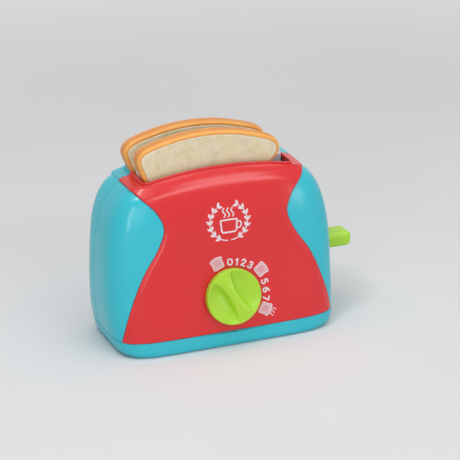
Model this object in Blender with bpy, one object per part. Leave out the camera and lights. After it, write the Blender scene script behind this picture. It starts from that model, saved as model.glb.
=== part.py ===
"""A toy toaster: a two-part case with a front panel, a bread carriage that slides on two sprung
rods, two loose slices of play bread, a side lever and a turning dial with its release latch.

Metres, +Z up, front towards -Y. The origin is the centre of the underside.
"""

import math

import bmesh
import bpy
import numpy as np
from mathutils import Vector

# Clearances and shared walls
GAP = 0.0003
OVERRUN = 0.004
WALL = 0.0022

# Case: half width at its widest, reach in front of and behind the parting plane, and the same at
# the lip round the bread opening
CASE_HALF_WIDTH = 0.0885
FRONT_REACH = 0.0513
REAR_REACH = 0.0283
PARTING_Y = 0.0115
LIP_HALF_WIDTH = 0.0575
LIP_FRONT_REACH = 0.0300
LIP_REAR_REACH = 0.0163
LIP_FOOT_HEIGHT = 0.1228
LIP_BEAD = 0.0020
LIP_WALL = 0.0018
LIP_ARCH = 0.0062
RAISE = 0.0012
PANEL_WALL = 0.0018
TRAY_HEIGHT = 0.0120
TRAY_FLOOR = 0.0022
TRAY_PROUD = 0.0002

# Rows of the case from the tray's rim up to the foot of the lip, as shares: height, width, front
# reach and rear reach between lip and widest, arch, and half width of the raised panel
CASE_ROW_shares = (
    (0.000, 0.916, 0.997, 0.990, 0.00, 0.921),
    (0.133, 0.982, 0.950, 0.990, 0.00, 0.876),
    (0.296, 1.000, 0.835, 0.930, 0.00, 0.803),
    (0.450, 0.981, 0.712, 0.850, 0.03, 0.712),
    (0.595, 0.939, 0.630, 0.775, 0.10, 0.590),
    (0.721, 0.858, 0.565, 0.690, 0.21, 0.528),
    (0.825, 0.732, 0.468, 0.610, 0.37, 0.577),
    (0.907, 0.561, 0.340, 0.530, 0.58, 0.669),
    (0.958, 0.380, 0.186, 0.410, 0.77, 0.724),
    (0.983, 0.235, 0.085, 0.290, 0.90, 0.722),
    (1.000, 0.000, 0.000, 0.000, 1.00, 0.650),
)
# How square the plan's corners are at each of those rows, in front and behind
CORNER_SQUARENESS = (
    (5.6, 5.0),
    (4.8, 4.6),
    (4.5, 4.3),
    (4.9, 4.3),
    (4.9, 4.6),
    (4.9, 5.8),
    (5.2, 7.2),
    (5.6, 8.4),
    (5.6, 9.0),
    (7.0, 9.5),
    (11.0, 11.0),
)
ROW_LEVELS = (0, 0.5, 1, 2, 3, 3.5, 4, 4.5, 5, 5.5, 6, 7, 8)
HORN_LEVEL = 8.75
SHELL_TOP_LEVEL = 9.3
UPPER_LEVELS = (9.1, 9.6)
SIDE_COLUMNS = 5
FACE_COLUMNS = 14
TRAY_COLUMNS = 28
# Rounded underside of the tray: how far it draws in, then rows of height, side, front and rear
# shares of that, with the squareness of its corners in front
TRAY_SIDE_ROUNDING = 0.0088
TRAY_FRONT_ROUNDING = 0.0032
TRAY_REAR_ROUNDING = 0.0060
TRAY_ROW_shares = (
    (0.00, 1.00, 1.00, 1.00, 7.4),
    (0.10, 0.85, 0.45, 0.66, 7.0),
    (0.33, 0.40, 0.05, 0.17, 6.4),
    (0.62, 0.14, 0.00, 0.04, 5.8),
    (1.00, 0.00, 0.00, 0.00, 5.5),
)

# Case screws from behind and base screws from below
SCREW_SHANK_R = 0.0015
SCREW_HEAD_R = 0.0027
SCREW_HEAD = 0.0022
SCREW_LENGTH = 0.0160
SCREW_SIDES = 12
CASE_SCREW_X = 0.0660
CASE_SCREW_LOW_Z = 0.0300
CASE_SCREW_HIGH_Z = 0.0970
CASE_SCREW_SEAT_Y = 0.0200
BASE_SCREW_FRONT_Y = -0.0080
BASE_SCREW_REAR_Y = 0.0240
BASE_SCREW_SEAT_Z = 0.0035
BASE_CUP_HEIGHT = 0.0070
BOSS_WALL = 0.0018
PILOT_DEPTH = 0.0180

# Divider that stands between the slices
DIVIDER_THICKNESS = 0.0090
DIVIDER_Y = 0.0030
DIVIDER_TOP = 0.1270
DIVIDER_WALL = 0.0014
LOCATOR_HALF_LENGTH = 0.0120
LOCATOR_HEIGHT = 0.0060

# Carriage, its two guide rods and lift springs
LIFT_TRAVEL = 0.0200
CARRIAGE_TOP = 0.0560
CARRIAGE_PLATE = 0.0030
CARRIAGE_FRONT_Y = -0.0155
CARRIAGE_REAR_Y = 0.0250
CARRIAGE_RIM = 0.0030
RIM_WALL = 0.0013
SLIDING_GAP = 0.0007
BRIDGE_X = 0.0300
BRIDGE_WIDTH = 0.0070
ROD_R = 0.0012
ROD_SOCKET = 0.0018
ROD_SOCKET_WALL = 0.0015
ROD_SPARE = 0.0040
SPRING_R = 0.0029
SPRING_WIRE_R = 0.00035
SPRING_TURNS = 9
SPRING_TURN_POINTS = 8

# Lever arm and its paddle, outside the case on the right
ARM_THICKNESS = 0.0050
ARM_HEIGHT = 0.0080
ARM_Z = 0.0500
ARM_ROOT = 0.0060
ARM_REACH = 0.0150
PADDLE_CLEARANCE = 0.0015
PADDLE_LENGTH = 0.0215
PADDLE_DEPTH = 0.0180
PADDLE_HEIGHT = 0.0115
PADDLE_ROUNDING = 0.0040
LEVER_SCREW_R = 0.0010
LEVER_SCREW_HEAD_R = 0.0019
LEVER_SCREW_HEAD = 0.0012

# Latch below the carriage and its catch on the carriage
LATCH_X = 0.0260
LATCH_WIDTH = 0.0080
LATCH_PIVOT_Y = -0.0210
LATCH_PIVOT_Z = 0.0240
LATCH_HUB_R = 0.0035
LATCH_BAR = 0.0030
LATCH_NOSE = 0.0035
LATCH_TAIL_HEIGHT = 0.0120
LATCH_TAIL_THICKNESS = 0.0040
LATCH_TAIL_FRONT = 0.0080
LATCH_TAIL_SIDE = 0.0030
LATCH_PIN_R = 0.0012
LATCH_EAR = 0.0020
CATCH_THICKNESS = 0.0020
CATCH_DROP = 0.0120
CATCH_LEDGE = 0.0011
CATCH_LEDGE_HEIGHT = 0.0020

# Dial on the leaning front
DIAL_Z = 0.0384
DIAL_R = 0.0205
DIAL_HEIGHT = 0.0062
DIAL_FLOAT = 0.0005
DIAL_ROUNDING = 0.0011
GRIP_HALF_WIDTH = 0.0042
GRIP_FLARE = 0.0022
GRIP_LEAN_DEGREES = 27.6
SCOOP_DEPTH = 0.0036
SCOOP_WALL = 0.0014
SCOOP_RIM = 0.0014
DIAL_SECTORS = 44
SCOOP_ROWS = 9
SCOOP_COLUMN_shares = (0.0, 0.16, 0.34, 0.56, 0.78, 1.0)
SCOOP_END_share = 0.985
SHAFT_R = 0.0030
SHAFT_GRIP = 0.0022
SHAFT_TAIL = 0.0086
CAM_R = 0.0130
CAM_THICKNESS = 0.0030
CAM_TOOTH = 0.0008
CAM_TEETH = 24
CAM_LUG_REACH = 0.0050
CAM_LUG_WIDTH = 0.0050
DIAL_TURN_DEGREES = 142.0
DIAL_SCREW_HEAD_R = 0.0042
PAWL_WIDTH = 0.0050
PAWL_THICKNESS = 0.0016
PAWL_FOOT = 0.0040
PAWL_FOOT_HEIGHT = 0.0030

# Play bread
SLICE_HALF_WIDTH = 0.0543
SLICE_HEIGHT = 0.0981
SLICE_THICKNESS = 0.0110
CRUST_BORDER = 0.0036
CRUMB_SINK = 0.0003
FRONT_SLICE_X = -0.0085
FRONT_SLICE_Y = -0.0080
FRONT_SLICE_LEAN_DEGREES = 2.0
REAR_SLICE_X = -0.0084
REAR_SLICE_Y = 0.0165
REAR_SLICE_LEAN_DEGREES = 1.0
SLICE_OUTLINE_POINTS = 48
# Right half of the slice's outline from the bottom up, as shares of half width and height
SLICE_OUTLINE_shares = (
    (0.00, 0.000),
    (0.40, 0.000),
    (0.68, 0.002),
    (0.80, 0.022),
    (0.857, 0.090),
    (0.857, 0.350),
    (0.857, 0.600),
    (0.862, 0.660),
    (0.897, 0.712),
    (0.975, 0.766),
    (1.000, 0.827),
    (0.945, 0.884),
    (0.810, 0.924),
    (0.550, 0.964),
    (0.300, 0.990),
    (0.000, 1.000),
)
# Section through the crust, as shares of its border and of half the slice's thickness
CRUST_SECTION_shares = (
    (1.0, -1.0),
    (0.5, -0.97),
    (0.14, -0.66),
    (0.0, 0.0),
    (0.14, 0.66),
    (0.5, 0.97),
    (1.0, 1.0),
)

LIP_TOP = LIP_FOOT_HEIGHT + LIP_BEAD
DIVIDER_HALF_LENGTH = LIP_HALF_WIDTH - LIP_WALL - SLIDING_GAP
CARRIAGE_HALF_LENGTH = DIVIDER_HALF_LENGTH + ARM_ROOT
RECESS_DEPTH = PANEL_WALL + GAP
SHELL_INSIDE = RAISE + WALL
COLOURS = {
    "teal": ((0.036, 0.552, 0.680), 0.28),
    "red": ((0.690, 0.036, 0.040), 0.26),
    "lime": ((0.370, 0.680, 0.030), 0.30),
    "white": ((0.800, 0.780, 0.820), 0.35),
    "crust": ((0.860, 0.330, 0.075), 0.45),
    "crumb": ((0.800, 0.700, 0.470), 0.55),
    "steel": ((0.550, 0.550, 0.560), 0.30),
}


def clear_scene():
    """Empties the scene of every object."""
    for item in list(bpy.data.objects):
        bpy.data.objects.remove(item, do_unlink=True)


def plastic(name):
    """The named material of the palette, made once."""
    found = bpy.data.materials.get(name)
    if found:
        return found
    colour, roughness = COLOURS[name]
    made = bpy.data.materials.new(name)
    made.use_nodes = True
    shader = made.node_tree.nodes["Principled BSDF"]
    shader.inputs["Base Color"].default_value = (*colour, 1.0)
    shader.inputs["Roughness"].default_value = roughness
    shader.inputs["Metallic"].default_value = float(name == "steel")
    return made


def add_object(name, mesh, material=None, parent=None):
    """Links a mesh as an object; one without a material is a hidden helper."""
    made = bpy.data.objects.new(name, mesh)
    bpy.context.scene.collection.objects.link(made)
    if parent:
        made.parent = parent
    if material:
        mesh.materials.append(plastic(material))
        mesh.shade_smooth()
        mesh.set_sharp_from_angle(angle=math.radians(35))
    else:
        made.hide_render = True
        made.display_type = "WIRE"
    return made


def add_empty(name, location, rotation=(0, 0, 0), parent=None):
    """Adds an empty that carries the pieces of one moving body."""
    made = bpy.data.objects.new(name, None)
    bpy.context.scene.collection.objects.link(made)
    made.location = location
    made.rotation_euler = rotation
    if parent:
        made.parent = parent
    return made


def mesh_from(points, faces, name):
    """A mesh with outward normals from points and faces, unused points left out."""
    shape = bmesh.new()
    used = sorted({index for face in faces for index in face})
    corners = {index: shape.verts.new([float(value) for value in points[index]]) for index in used}
    for face in faces:
        shape.faces.new([corners[index] for index in face])
    bmesh.ops.recalc_face_normals(shape, faces=shape.faces)
    mesh = bpy.data.meshes.new(name)
    shape.to_mesh(mesh)
    shape.free()
    return mesh


def loft(rings, name):
    """Joins rings of equally many points with quads and closes both ends with flat caps."""
    count = len(rings[0])
    points = [point for ring in rings for point in ring]
    faces = []
    for row in range(len(rings) - 1):
        for column in range(count):
            after = (column + 1) % count
            low = row * count
            high = low + count
            faces.append((low + column, low + after, high + after, high + column))
    faces.append(tuple(range(count)))
    faces.append(tuple(range(len(points) - count, len(points))))
    return mesh_from(points, faces, name)


def plate(outer, inner, keep, name):
    """Closes the kept cells of two matching point grids into one solid with walls at its rims.

    Cells are split along diagonals that mirror about the middle column, so plates on the same
    surface stay parallel.
    """
    rows, columns = outer.shape[:2]
    points = np.concatenate([outer.reshape(-1, 3), inner.reshape(-1, 3)])
    shift = rows * columns
    faces = []
    for row in range(rows - 1):
        for column in range(columns - 1):
            if not keep[row, column]:
                continue
            corner = row * columns + column
            cell = (corner, corner + 1, corner + columns + 1, corner + columns)
            turn = int(2 * column + 1 >= columns)
            for pick in (0, 2):
                corners = [cell[(turn + pick + step) % 4] for step in range(3)]
                faces.append(tuple(corners))
                faces.append(tuple(index + shift for index in reversed(corners)))
            neighbours = ((row - 1, column), (row, column + 1), (row + 1, column), (row, column - 1))
            for side, (near_row, near_column) in enumerate(neighbours):
                inside = 0 <= near_row < rows - 1 and 0 <= near_column < columns - 1
                if inside and keep[near_row, near_column]:
                    continue
                first = cell[side]
                second = cell[(side + 1) % 4]
                faces.append((second, first, first + shift, second + shift))
    return mesh_from(points, faces, name)


def block(name, low, high, material=None, parent=None):
    """A box between two corners."""
    ring = ((low[0], low[1]), (high[0], low[1]), (high[0], high[1]), (low[0], high[1]))
    rings = [[(x, y, z) for x, y in ring] for z in (low[2], high[2])]
    return add_object(name, loft(rings, name), material, parent)


def turned(name, profile, material=None, parent=None, sides=SCREW_SIDES, base=(0, 0, 0), axis="Z"):
    """A solid of revolution: profile lists (radius, place) along the axis, both ends capped."""
    angles = [2 * math.pi * step / sides for step in range(sides)]
    rings = []
    for radius, place in profile:
        ring = []
        for angle in angles:
            across = radius * math.cos(angle)
            beside = radius * math.sin(angle)
            local = {
                "Z": (across, beside, place),
                "Y": (beside, place, across),
                "X": (place, across, beside),
            }[axis]
            ring.append(tuple(start + step for start, step in zip(base, local)))
        rings.append(ring)
    return add_object(name, loft(rings, name), material, parent)


def combine(target, helpers, operation):
    """Adds one exact Boolean for each helper."""
    for helper in helpers:
        step = target.modifiers.new(helper.name, "BOOLEAN")
        step.operation = operation
        step.solver = "EXACT"
        step.object = helper


def table_at(table, level):
    """Rows of a table at fractional levels, on a smooth curve through the rows."""
    table = np.asarray(table, float)
    level = np.atleast_1d(np.asarray(level, float))
    last = len(table) - 1
    start = np.clip(np.floor(level).astype(int), 0, last - 1)
    share = (level - start)[:, None]
    before = table[np.maximum(start - 1, 0)]
    here = table[start]
    after = table[start + 1]
    beyond = table[np.minimum(start + 2, last)]
    leave = (after - before) / 2
    arrive = (beyond - here) / 2
    square = share**2
    cube = share**3
    return (
        (2 * cube - 3 * square + 1) * here
        + (cube - 2 * square + share) * leave
        + (3 * square - 2 * cube) * after
        + (cube - square) * arrive
    )


def case_row(level, rear):
    """Height, half width, reach, arch, corner squareness and panel half width at each level."""
    rows = table_at(CASE_ROW_shares, level)
    squareness = table_at(CORNER_SQUARENESS, level)[:, int(rear)]
    foot = TRAY_HEIGHT + GAP
    height = foot + (LIP_FOOT_HEIGHT - foot) * rows[:, 0]
    half_width = LIP_HALF_WIDTH + (CASE_HALF_WIDTH - LIP_HALF_WIDTH) * rows[:, 1]
    if rear:
        reach = LIP_REAR_REACH + (REAR_REACH - LIP_REAR_REACH) * rows[:, 3]
    else:
        reach = LIP_FRONT_REACH + (FRONT_REACH - LIP_FRONT_REACH) * rows[:, 2]
    panel = np.minimum(CASE_HALF_WIDTH * rows[:, 5], half_width - RAISE)
    return height, half_width, reach, LIP_ARCH * rows[:, 4], squareness, panel


def plan_point(angle, half_width, reach, squareness):
    """A point of the rounded plan, seen from its centre at this angle in the stretched plan."""
    across = np.cos(angle)
    out = np.sin(angle)
    norm = (np.abs(across) ** squareness + np.abs(out) ** squareness) ** (1 / squareness)
    return half_width * across / norm, reach * out / norm


def case_point(level, angle, rear):
    """Points of the outer case; angle runs from the right parting edge to the left one."""
    height, half_width, reach, arch, squareness, _ = case_row(level, rear)
    x, out = plan_point(angle, half_width, reach, squareness)
    y = PARTING_Y + (out if rear else -out)
    z = height + arch * (1 - (x / half_width) ** 2)
    return np.stack([x, y, z], axis=-1)


def case_skin(level, angle, depth, rear):
    """Points of the case's outer surface, moved inwards along the surface normal by depth."""
    level, angle, depth = np.broadcast_arrays(level, angle, depth)
    shape = level.shape
    level = level.ravel()
    angle = angle.ravel()
    step = 1e-3
    last = len(CASE_ROW_shares) - 1
    up = case_point(np.minimum(level + step, last), angle, rear)
    up = up - case_point(np.maximum(level - step, 0), angle, rear)
    along = case_point(level, angle + step, rear) - case_point(level, angle - step, rear)
    normal = np.cross(along, up)
    normal /= np.linalg.norm(normal, axis=1, keepdims=True)
    if not rear:
        normal = -normal
    points = case_point(level, angle, rear) + normal * depth.ravel()[:, None]
    return points.reshape(*shape, 3)


def panel_angle(level, margin, rear):
    """The angle at which the raised panel's edge, moved outwards by margin, crosses each level."""
    _, half_width, _, _, squareness, panel = case_row(level, rear)
    share = np.minimum((panel + margin) / half_width, 1 - GAP / half_width) ** squareness
    return np.arctan(((1 - share) / share) ** (1 / squareness))


def column_angles(level, land_margin, face_margin, rear):
    """Angles of one level's columns: side, step at the panel's edge, face, and mirrored."""
    side = panel_angle(level, land_margin, rear)
    face = panel_angle(level, face_margin, rear)
    side_share = np.linspace(0, 1, SIDE_COLUMNS)
    face_share = np.linspace(0, 1, FACE_COLUMNS + 1)
    right = side[:, None] * side_share[None, :]
    middle = face[:, None] + (math.pi - 2 * face[:, None]) * face_share[None, :]
    left = math.pi - right[:, ::-1]
    return np.concatenate([right, middle, left], axis=1)


def lip_rows(angles, drop, rear):
    """Outer and inner rings of the lip: at its foot, the inner one lower by drop, and at its top."""
    reach = LIP_REAR_REACH if rear else LIP_FRONT_REACH
    squareness = CORNER_SQUARENESS[-1][int(rear)]
    rings = []
    for inset, height in ((0, 0), (0, LIP_BEAD), (LIP_WALL, -drop), (LIP_WALL, LIP_BEAD)):
        x, out = plan_point(angles, LIP_HALF_WIDTH - inset, reach - inset, squareness)
        y = PARTING_Y + (out if rear else -out)
        z = LIP_FOOT_HEIGHT + height + LIP_ARCH * (1 - (x / LIP_HALF_WIDTH) ** 2)
        rings.append(np.stack([x, y, z], axis=-1))
    return np.stack(rings[:2]), np.stack(rings[2:])


def face_y(x, z, rear, depth=0.0):
    """Where the outer case, moved inwards by depth, stands at this x and z."""
    level = np.linspace(0, len(CASE_ROW_shares) - 1, 121)
    height, half_width, reach, arch, squareness, _ = case_row(level, rear)
    share = np.clip(abs(x) / half_width, 0, 1)
    out = reach * (1 - share**squareness) ** (1 / squareness) - depth
    heights = height + arch * (1 - share**2)
    return PARTING_Y + (1 if rear else -1) * float(np.interp(z, heights, out))


def horn_gap():
    """GAP as a difference in level at the panel's upper corners."""
    ends = case_point([HORN_LEVEL, HORN_LEVEL + 1], [0.0, 0.0], False)
    return GAP / float(np.linalg.norm(ends[1] - ends[0]))


def front_shell():
    """Front half of the case, sunk where the panel lies on it."""
    step = horn_gap()
    levels = np.array([*ROW_LEVELS, HORN_LEVEL - step, HORN_LEVEL - step / 2, SHELL_TOP_LEVEL])
    angles = column_angles(levels, GAP, GAP / 2, False)
    sunk = np.zeros(angles.shape, bool)
    sunk[:, SIDE_COLUMNS : SIDE_COLUMNS + FACE_COLUMNS + 1] = True
    sunk[-2:, :] = True
    outer = case_skin(levels[:, None], angles, np.where(sunk, -RECESS_DEPTH, -RAISE), False)
    inner = case_skin(levels[:, None], angles, -SHELL_INSIDE, False)
    outer[0, :, 2] = TRAY_HEIGHT + GAP
    inner[0, :, 2] = TRAY_HEIGHT + GAP
    keep = np.ones((outer.shape[0] - 1, outer.shape[1] - 1), bool)
    shell = add_object("front_shell", plate(outer, inner, keep, "front_shell"), "teal")
    helpers = []
    for index, (x, z) in enumerate(case_screw_places()):
        boss = wall_boss(f"front_boss_{index}", x, z, SCREW_SHANK_R + BOSS_WALL + GAP, False)
        helpers.append(boss)
    for index, x in enumerate((-CASE_SCREW_X, CASE_SCREW_X)):
        helpers.append(base_boss(f"front_base_boss_{index}", x, BASE_SCREW_FRONT_Y))
    combine(shell, helpers, "UNION")
    drills = [lever_slot("front_lever_slot"), dial_bore("shell_dial_bore", SHAFT_R + 2 * GAP)]
    for index, (x, z) in enumerate(case_screw_places()):
        hole = ((SCREW_SHANK_R + GAP, -PILOT_DEPTH), (SCREW_SHANK_R + GAP, OVERRUN))
        drills.append(turned(f"front_pilot_{index}", hole, base=(x, PARTING_Y, z), axis="Y"))
    for index, x in enumerate((-CASE_SCREW_X, CASE_SCREW_X)):
        drills.append(base_pilot(f"front_base_pilot_{index}", x, BASE_SCREW_FRONT_Y))
    combine(shell, drills, "DIFFERENCE")
    return shell


def rear_shell():
    """Rear half of the case, with the rear part of the lip and a raised back in one with it."""
    step = horn_gap()
    levels = np.array([*ROW_LEVELS, HORN_LEVEL - step, HORN_LEVEL, *UPPER_LEVELS])
    angles = column_angles(levels, GAP, 0.0, True)
    depth = np.full(angles.shape, -RAISE)
    depth[:, SIDE_COLUMNS : SIDE_COLUMNS + FACE_COLUMNS + 1] = 0.0
    depth[len(ROW_LEVELS) + 1 :, :] = 0.0
    outer = case_skin(levels[:, None], angles, depth, True)
    inner = case_skin(levels[:, None], angles, depth - WALL, True)
    for skin in (outer, inner):
        skin[0, :, 2] = TRAY_HEIGHT + GAP
    lip_outer, lip_inner = lip_rows(angles[-1], WALL, True)
    outer = np.concatenate([outer, lip_outer])
    inner = np.concatenate([inner, lip_inner])
    for skin in (outer, inner):
        skin[:, :, 1] = np.maximum(skin[:, :, 1], PARTING_Y + GAP)
    keep = np.ones((outer.shape[0] - 1, outer.shape[1] - 1), bool)
    shell = add_object("rear_shell", plate(outer, inner, keep, "rear_shell"), "teal")
    helpers = []
    for index, (x, z) in enumerate(case_screw_places()):
        boss = wall_boss(f"rear_boss_{index}", x, z, SCREW_HEAD_R + BOSS_WALL / 2 + GAP, True)
        helpers.append(boss)
    for index, x in enumerate((-CASE_SCREW_X, CASE_SCREW_X)):
        helpers.append(base_boss(f"rear_base_boss_{index}", x, BASE_SCREW_REAR_Y))
    combine(shell, helpers, "UNION")
    drills = [lever_slot("rear_lever_slot")]
    far = PARTING_Y + REAR_REACH + OVERRUN
    for index, (x, z) in enumerate(case_screw_places()):
        profile = (
            (SCREW_SHANK_R + GAP, PARTING_Y - OVERRUN),
            (SCREW_SHANK_R + GAP, CASE_SCREW_SEAT_Y),
            (SCREW_HEAD_R + GAP, CASE_SCREW_SEAT_Y),
            (SCREW_HEAD_R + GAP, far),
        )
        drills.append(turned(f"rear_screw_hole_{index}", profile, base=(x, 0, z), axis="Y"))
    for index, x in enumerate((-CASE_SCREW_X, CASE_SCREW_X)):
        drills.append(base_pilot(f"rear_base_pilot_{index}", x, BASE_SCREW_REAR_Y))
    combine(shell, drills, "DIFFERENCE")
    return shell


def front_panel():
    """Hourglass front panel, which wraps over the shoulders and carries the front of the lip."""
    levels = np.array([*ROW_LEVELS, HORN_LEVEL, *UPPER_LEVELS])
    edge = panel_angle(levels, 0.0, False)
    side_share = np.linspace(0, 1, SIDE_COLUMNS)
    face_share = np.linspace(0, 1, FACE_COLUMNS + 1)
    right = edge[:, None] * side_share[None, :-1]
    middle = edge[:, None] + (math.pi - 2 * edge[:, None]) * face_share[None, :]
    angles = np.concatenate([right, middle, math.pi - right[:, ::-1]], axis=1)
    outer = case_skin(levels[:, None], angles, 0.0, False)
    inner = case_skin(levels[:, None], angles, -PANEL_WALL, False)
    for skin in (outer, inner):
        skin[0, :, 2] = TRAY_HEIGHT + GAP
    lip_outer, lip_inner = lip_rows(angles[-1], PANEL_WALL, False)
    outer = np.concatenate([outer, lip_outer])
    inner = np.concatenate([inner, lip_inner])
    keep = np.ones((outer.shape[0] - 1, outer.shape[1] - 1), bool)
    keep[: len(ROW_LEVELS), : SIDE_COLUMNS - 1] = False
    keep[: len(ROW_LEVELS), 1 - SIDE_COLUMNS :] = False
    panel = add_object("front_panel", plate(outer, inner, keep, "front_panel"), "red")
    combine(panel, [dial_bore("panel_dial_bore", SHAFT_R + GAP)], "DIFFERENCE")
    return panel


def case_screw_places():
    """x and z of the four case screws."""
    heights = (CASE_SCREW_LOW_Z, CASE_SCREW_HIGH_Z)
    return [(x, z) for z in heights for x in (-CASE_SCREW_X, CASE_SCREW_X)]


def wall_boss(name, x, z, radius, rear):
    """A screw boss from the parting plane to the case wall, its far end following the wall."""
    start = PARTING_Y + (GAP if rear else 0.0)
    depth = RAISE + WALL / 3 if rear else (RECESS_DEPTH + SHELL_INSIDE) / 2
    near = []
    far = []
    for step in range(SCREW_SIDES):
        angle = 2 * math.pi * step / SCREW_SIDES
        across = x + radius * math.cos(angle)
        up = z + radius * math.sin(angle)
        near.append((across, start, up))
        far.append((across, face_y(across, up, rear, depth), up))
    return add_object(name, loft([near, far], name))


def base_boss(name, x, y):
    """An upright boss from above the tray's cup into the lower case boss."""
    radius = SCREW_SHANK_R + BOSS_WALL
    profile = ((radius, BASE_CUP_HEIGHT + GAP), (radius, CASE_SCREW_LOW_Z))
    return turned(name, profile, base=(x, y, 0))


def base_pilot(name, x, y):
    """The blind hole of a base screw."""
    radius = SCREW_SHANK_R + GAP
    return turned(name, ((radius, TRAY_FLOOR), (radius, PILOT_DEPTH + OVERRUN)), base=(x, y, 0))


def lever_slot(name):
    """The cut at the right parting edge in which the lever arm rises."""
    half = ARM_THICKNESS / 2 + SLIDING_GAP
    low = ARM_Z - ARM_HEIGHT / 2 - SLIDING_GAP
    high = ARM_Z + ARM_HEIGHT / 2 + LIFT_TRAVEL + SLIDING_GAP
    inside = CASE_HALF_WIDTH - SHELL_INSIDE - OVERRUN
    outside = CASE_HALF_WIDTH + OVERRUN
    return block(name, (inside, PARTING_Y - half, low), (outside, PARTING_Y + half, high))


def dial_frame():
    """Point where the dial's axis leaves the panel, and the front's lean there."""
    rise = DIAL_R / 2
    low = face_y(0.0, DIAL_Z - rise, False)
    high = face_y(0.0, DIAL_Z + rise, False)
    return (0.0, face_y(0.0, DIAL_Z, False), DIAL_Z), math.atan((high - low) / (2 * rise))


def dial_empty(name):
    """An empty on the dial's axis, its z pointing out of the panel and its y up along it."""
    place, lean = dial_frame()
    return add_empty(name, place, (math.pi / 2 - lean, 0, 0))


def dial_bore(name, radius):
    """The dial shaft's hole through panel and shell."""
    reach = RECESS_DEPTH + SHELL_INSIDE
    return turned(name, ((radius, -reach), (radius, OVERRUN)), parent=dial_empty(name + "_axis"))


def tray_ring(height_share, inset=0.0, height=None):
    """The tray's plan all round at this share of its height, moved inwards by inset."""
    rows = np.array(TRAY_ROW_shares)
    row = [float(np.interp(height_share, rows[:, 0], rows[:, column])) for column in range(1, 5)]
    angles = np.linspace(0, math.pi, TRAY_COLUMNS + 1)
    ring = []
    for rear in (False, True):
        _, half_width, reach, _, squareness, _ = case_row(0.0, rear)
        half_width = half_width - RAISE - TRAY_SIDE_ROUNDING * row[0] - inset
        if rear:
            reach = reach - RAISE - TRAY_REAR_ROUNDING * row[2] - inset
        else:
            reach = reach + TRAY_PROUD - TRAY_FRONT_ROUNDING * row[1] - inset
            squareness = row[3]
        x, out = plan_point(angles if rear else angles[::-1], half_width, reach, squareness)
        y = PARTING_Y + (out if rear else -out)
        up = TRAY_HEIGHT * height_share if height is None else height
        ring += [(px, py, up) for px, py in zip(x[:-1], y[:-1])]
    return ring


def base_tray():
    """Shallow tray under the case, with screw cups, latch ears, rod sockets and a locating rib."""
    rings = [tray_ring(row[0]) for row in TRAY_ROW_shares]
    rings.append(tray_ring(1.0, SHELL_INSIDE))
    rings.append(tray_ring(TRAY_ROW_shares[2][0], WALL))
    rings.append(tray_ring(TRAY_ROW_shares[1][0], WALL, TRAY_FLOOR))
    tray = add_object("base_tray", loft(rings, "base_tray"), "teal")
    low = TRAY_FLOOR / 2
    helpers = []
    drills = []
    for index, (x, y) in enumerate(base_screw_places()):
        radius = SCREW_HEAD_R + GAP + BOSS_WALL
        cup = ((radius, low), (radius, BASE_CUP_HEIGHT))
        helpers.append(turned(f"screw_cup_{index}", cup, base=(x, y, 0)))
        hole = (
            (SCREW_HEAD_R + GAP, -OVERRUN),
            (SCREW_HEAD_R + GAP, BASE_SCREW_SEAT_Z),
            (SCREW_SHANK_R + GAP, BASE_SCREW_SEAT_Z),
            (SCREW_SHANK_R + GAP, BASE_CUP_HEIGHT + OVERRUN),
        )
        drills.append(turned(f"screw_cup_hole_{index}", hole, base=(x, y, 0)))
    for index, x in enumerate((-BRIDGE_X, BRIDGE_X)):
        radius = ROD_R + GAP + ROD_SOCKET_WALL
        socket = ((radius, low), (radius, TRAY_FLOOR + ROD_SOCKET))
        helpers.append(turned(f"rod_socket_{index}", socket, base=(x, DIVIDER_Y, 0)))
        bore = ((ROD_R + GAP, TRAY_FLOOR), (ROD_R + GAP, TRAY_FLOOR + ROD_SOCKET + OVERRUN))
        drills.append(turned(f"rod_bore_{index}", bore, base=(x, DIVIDER_Y, 0)))
    for index, (left, right) in enumerate(ear_spans()):
        helpers.append(
            block(
                f"latch_ear_{index}",
                (left, LATCH_PIVOT_Y - LATCH_HUB_R, low),
                (right, LATCH_PIVOT_Y + LATCH_HUB_R, LATCH_PIVOT_Z + LATCH_HUB_R),
            )
        )
    reach = LATCH_WIDTH / 2 + LATCH_EAR + OVERRUN
    pin_hole = ((LATCH_PIN_R + GAP, LATCH_X - reach), (LATCH_PIN_R + GAP, LATCH_X + reach))
    place = (0, LATCH_PIVOT_Y, LATCH_PIVOT_Z)
    drills.append(turned("latch_ear_bore", pin_hole, base=place, axis="X"))
    half = DIVIDER_THICKNESS / 2 - DIVIDER_WALL - GAP
    helpers.append(
        block(
            "divider_locator",
            (-LOCATOR_HALF_LENGTH, DIVIDER_Y - half, low),
            (LOCATOR_HALF_LENGTH, DIVIDER_Y + half, TRAY_FLOOR + LOCATOR_HEIGHT),
        )
    )
    place, _ = pawl_place()
    half = PAWL_FOOT / 2 + PAWL_THICKNESS
    helpers.append(
        block(
            "pawl_socket",
            (-PAWL_WIDTH / 2 - PAWL_THICKNESS, place - half, low),
            (PAWL_WIDTH / 2 + PAWL_THICKNESS, place + half, TRAY_FLOOR + PAWL_FOOT_HEIGHT),
        )
    )
    half = PAWL_FOOT / 2 + GAP
    drills.append(
        block(
            "pawl_socket_bore",
            (-PAWL_WIDTH / 2 - GAP, place - half, TRAY_FLOOR),
            (PAWL_WIDTH / 2 + GAP, place + half, TRAY_FLOOR + PAWL_FOOT_HEIGHT + OVERRUN),
        )
    )
    combine(tray, helpers, "UNION")
    combine(tray, drills, "DIFFERENCE")
    return tray


def base_screw_places():
    """x and y of the four base screws."""
    rows = (BASE_SCREW_FRONT_Y, BASE_SCREW_REAR_Y)
    return [(x, y) for y in rows for x in (-CASE_SCREW_X, CASE_SCREW_X)]


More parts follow.
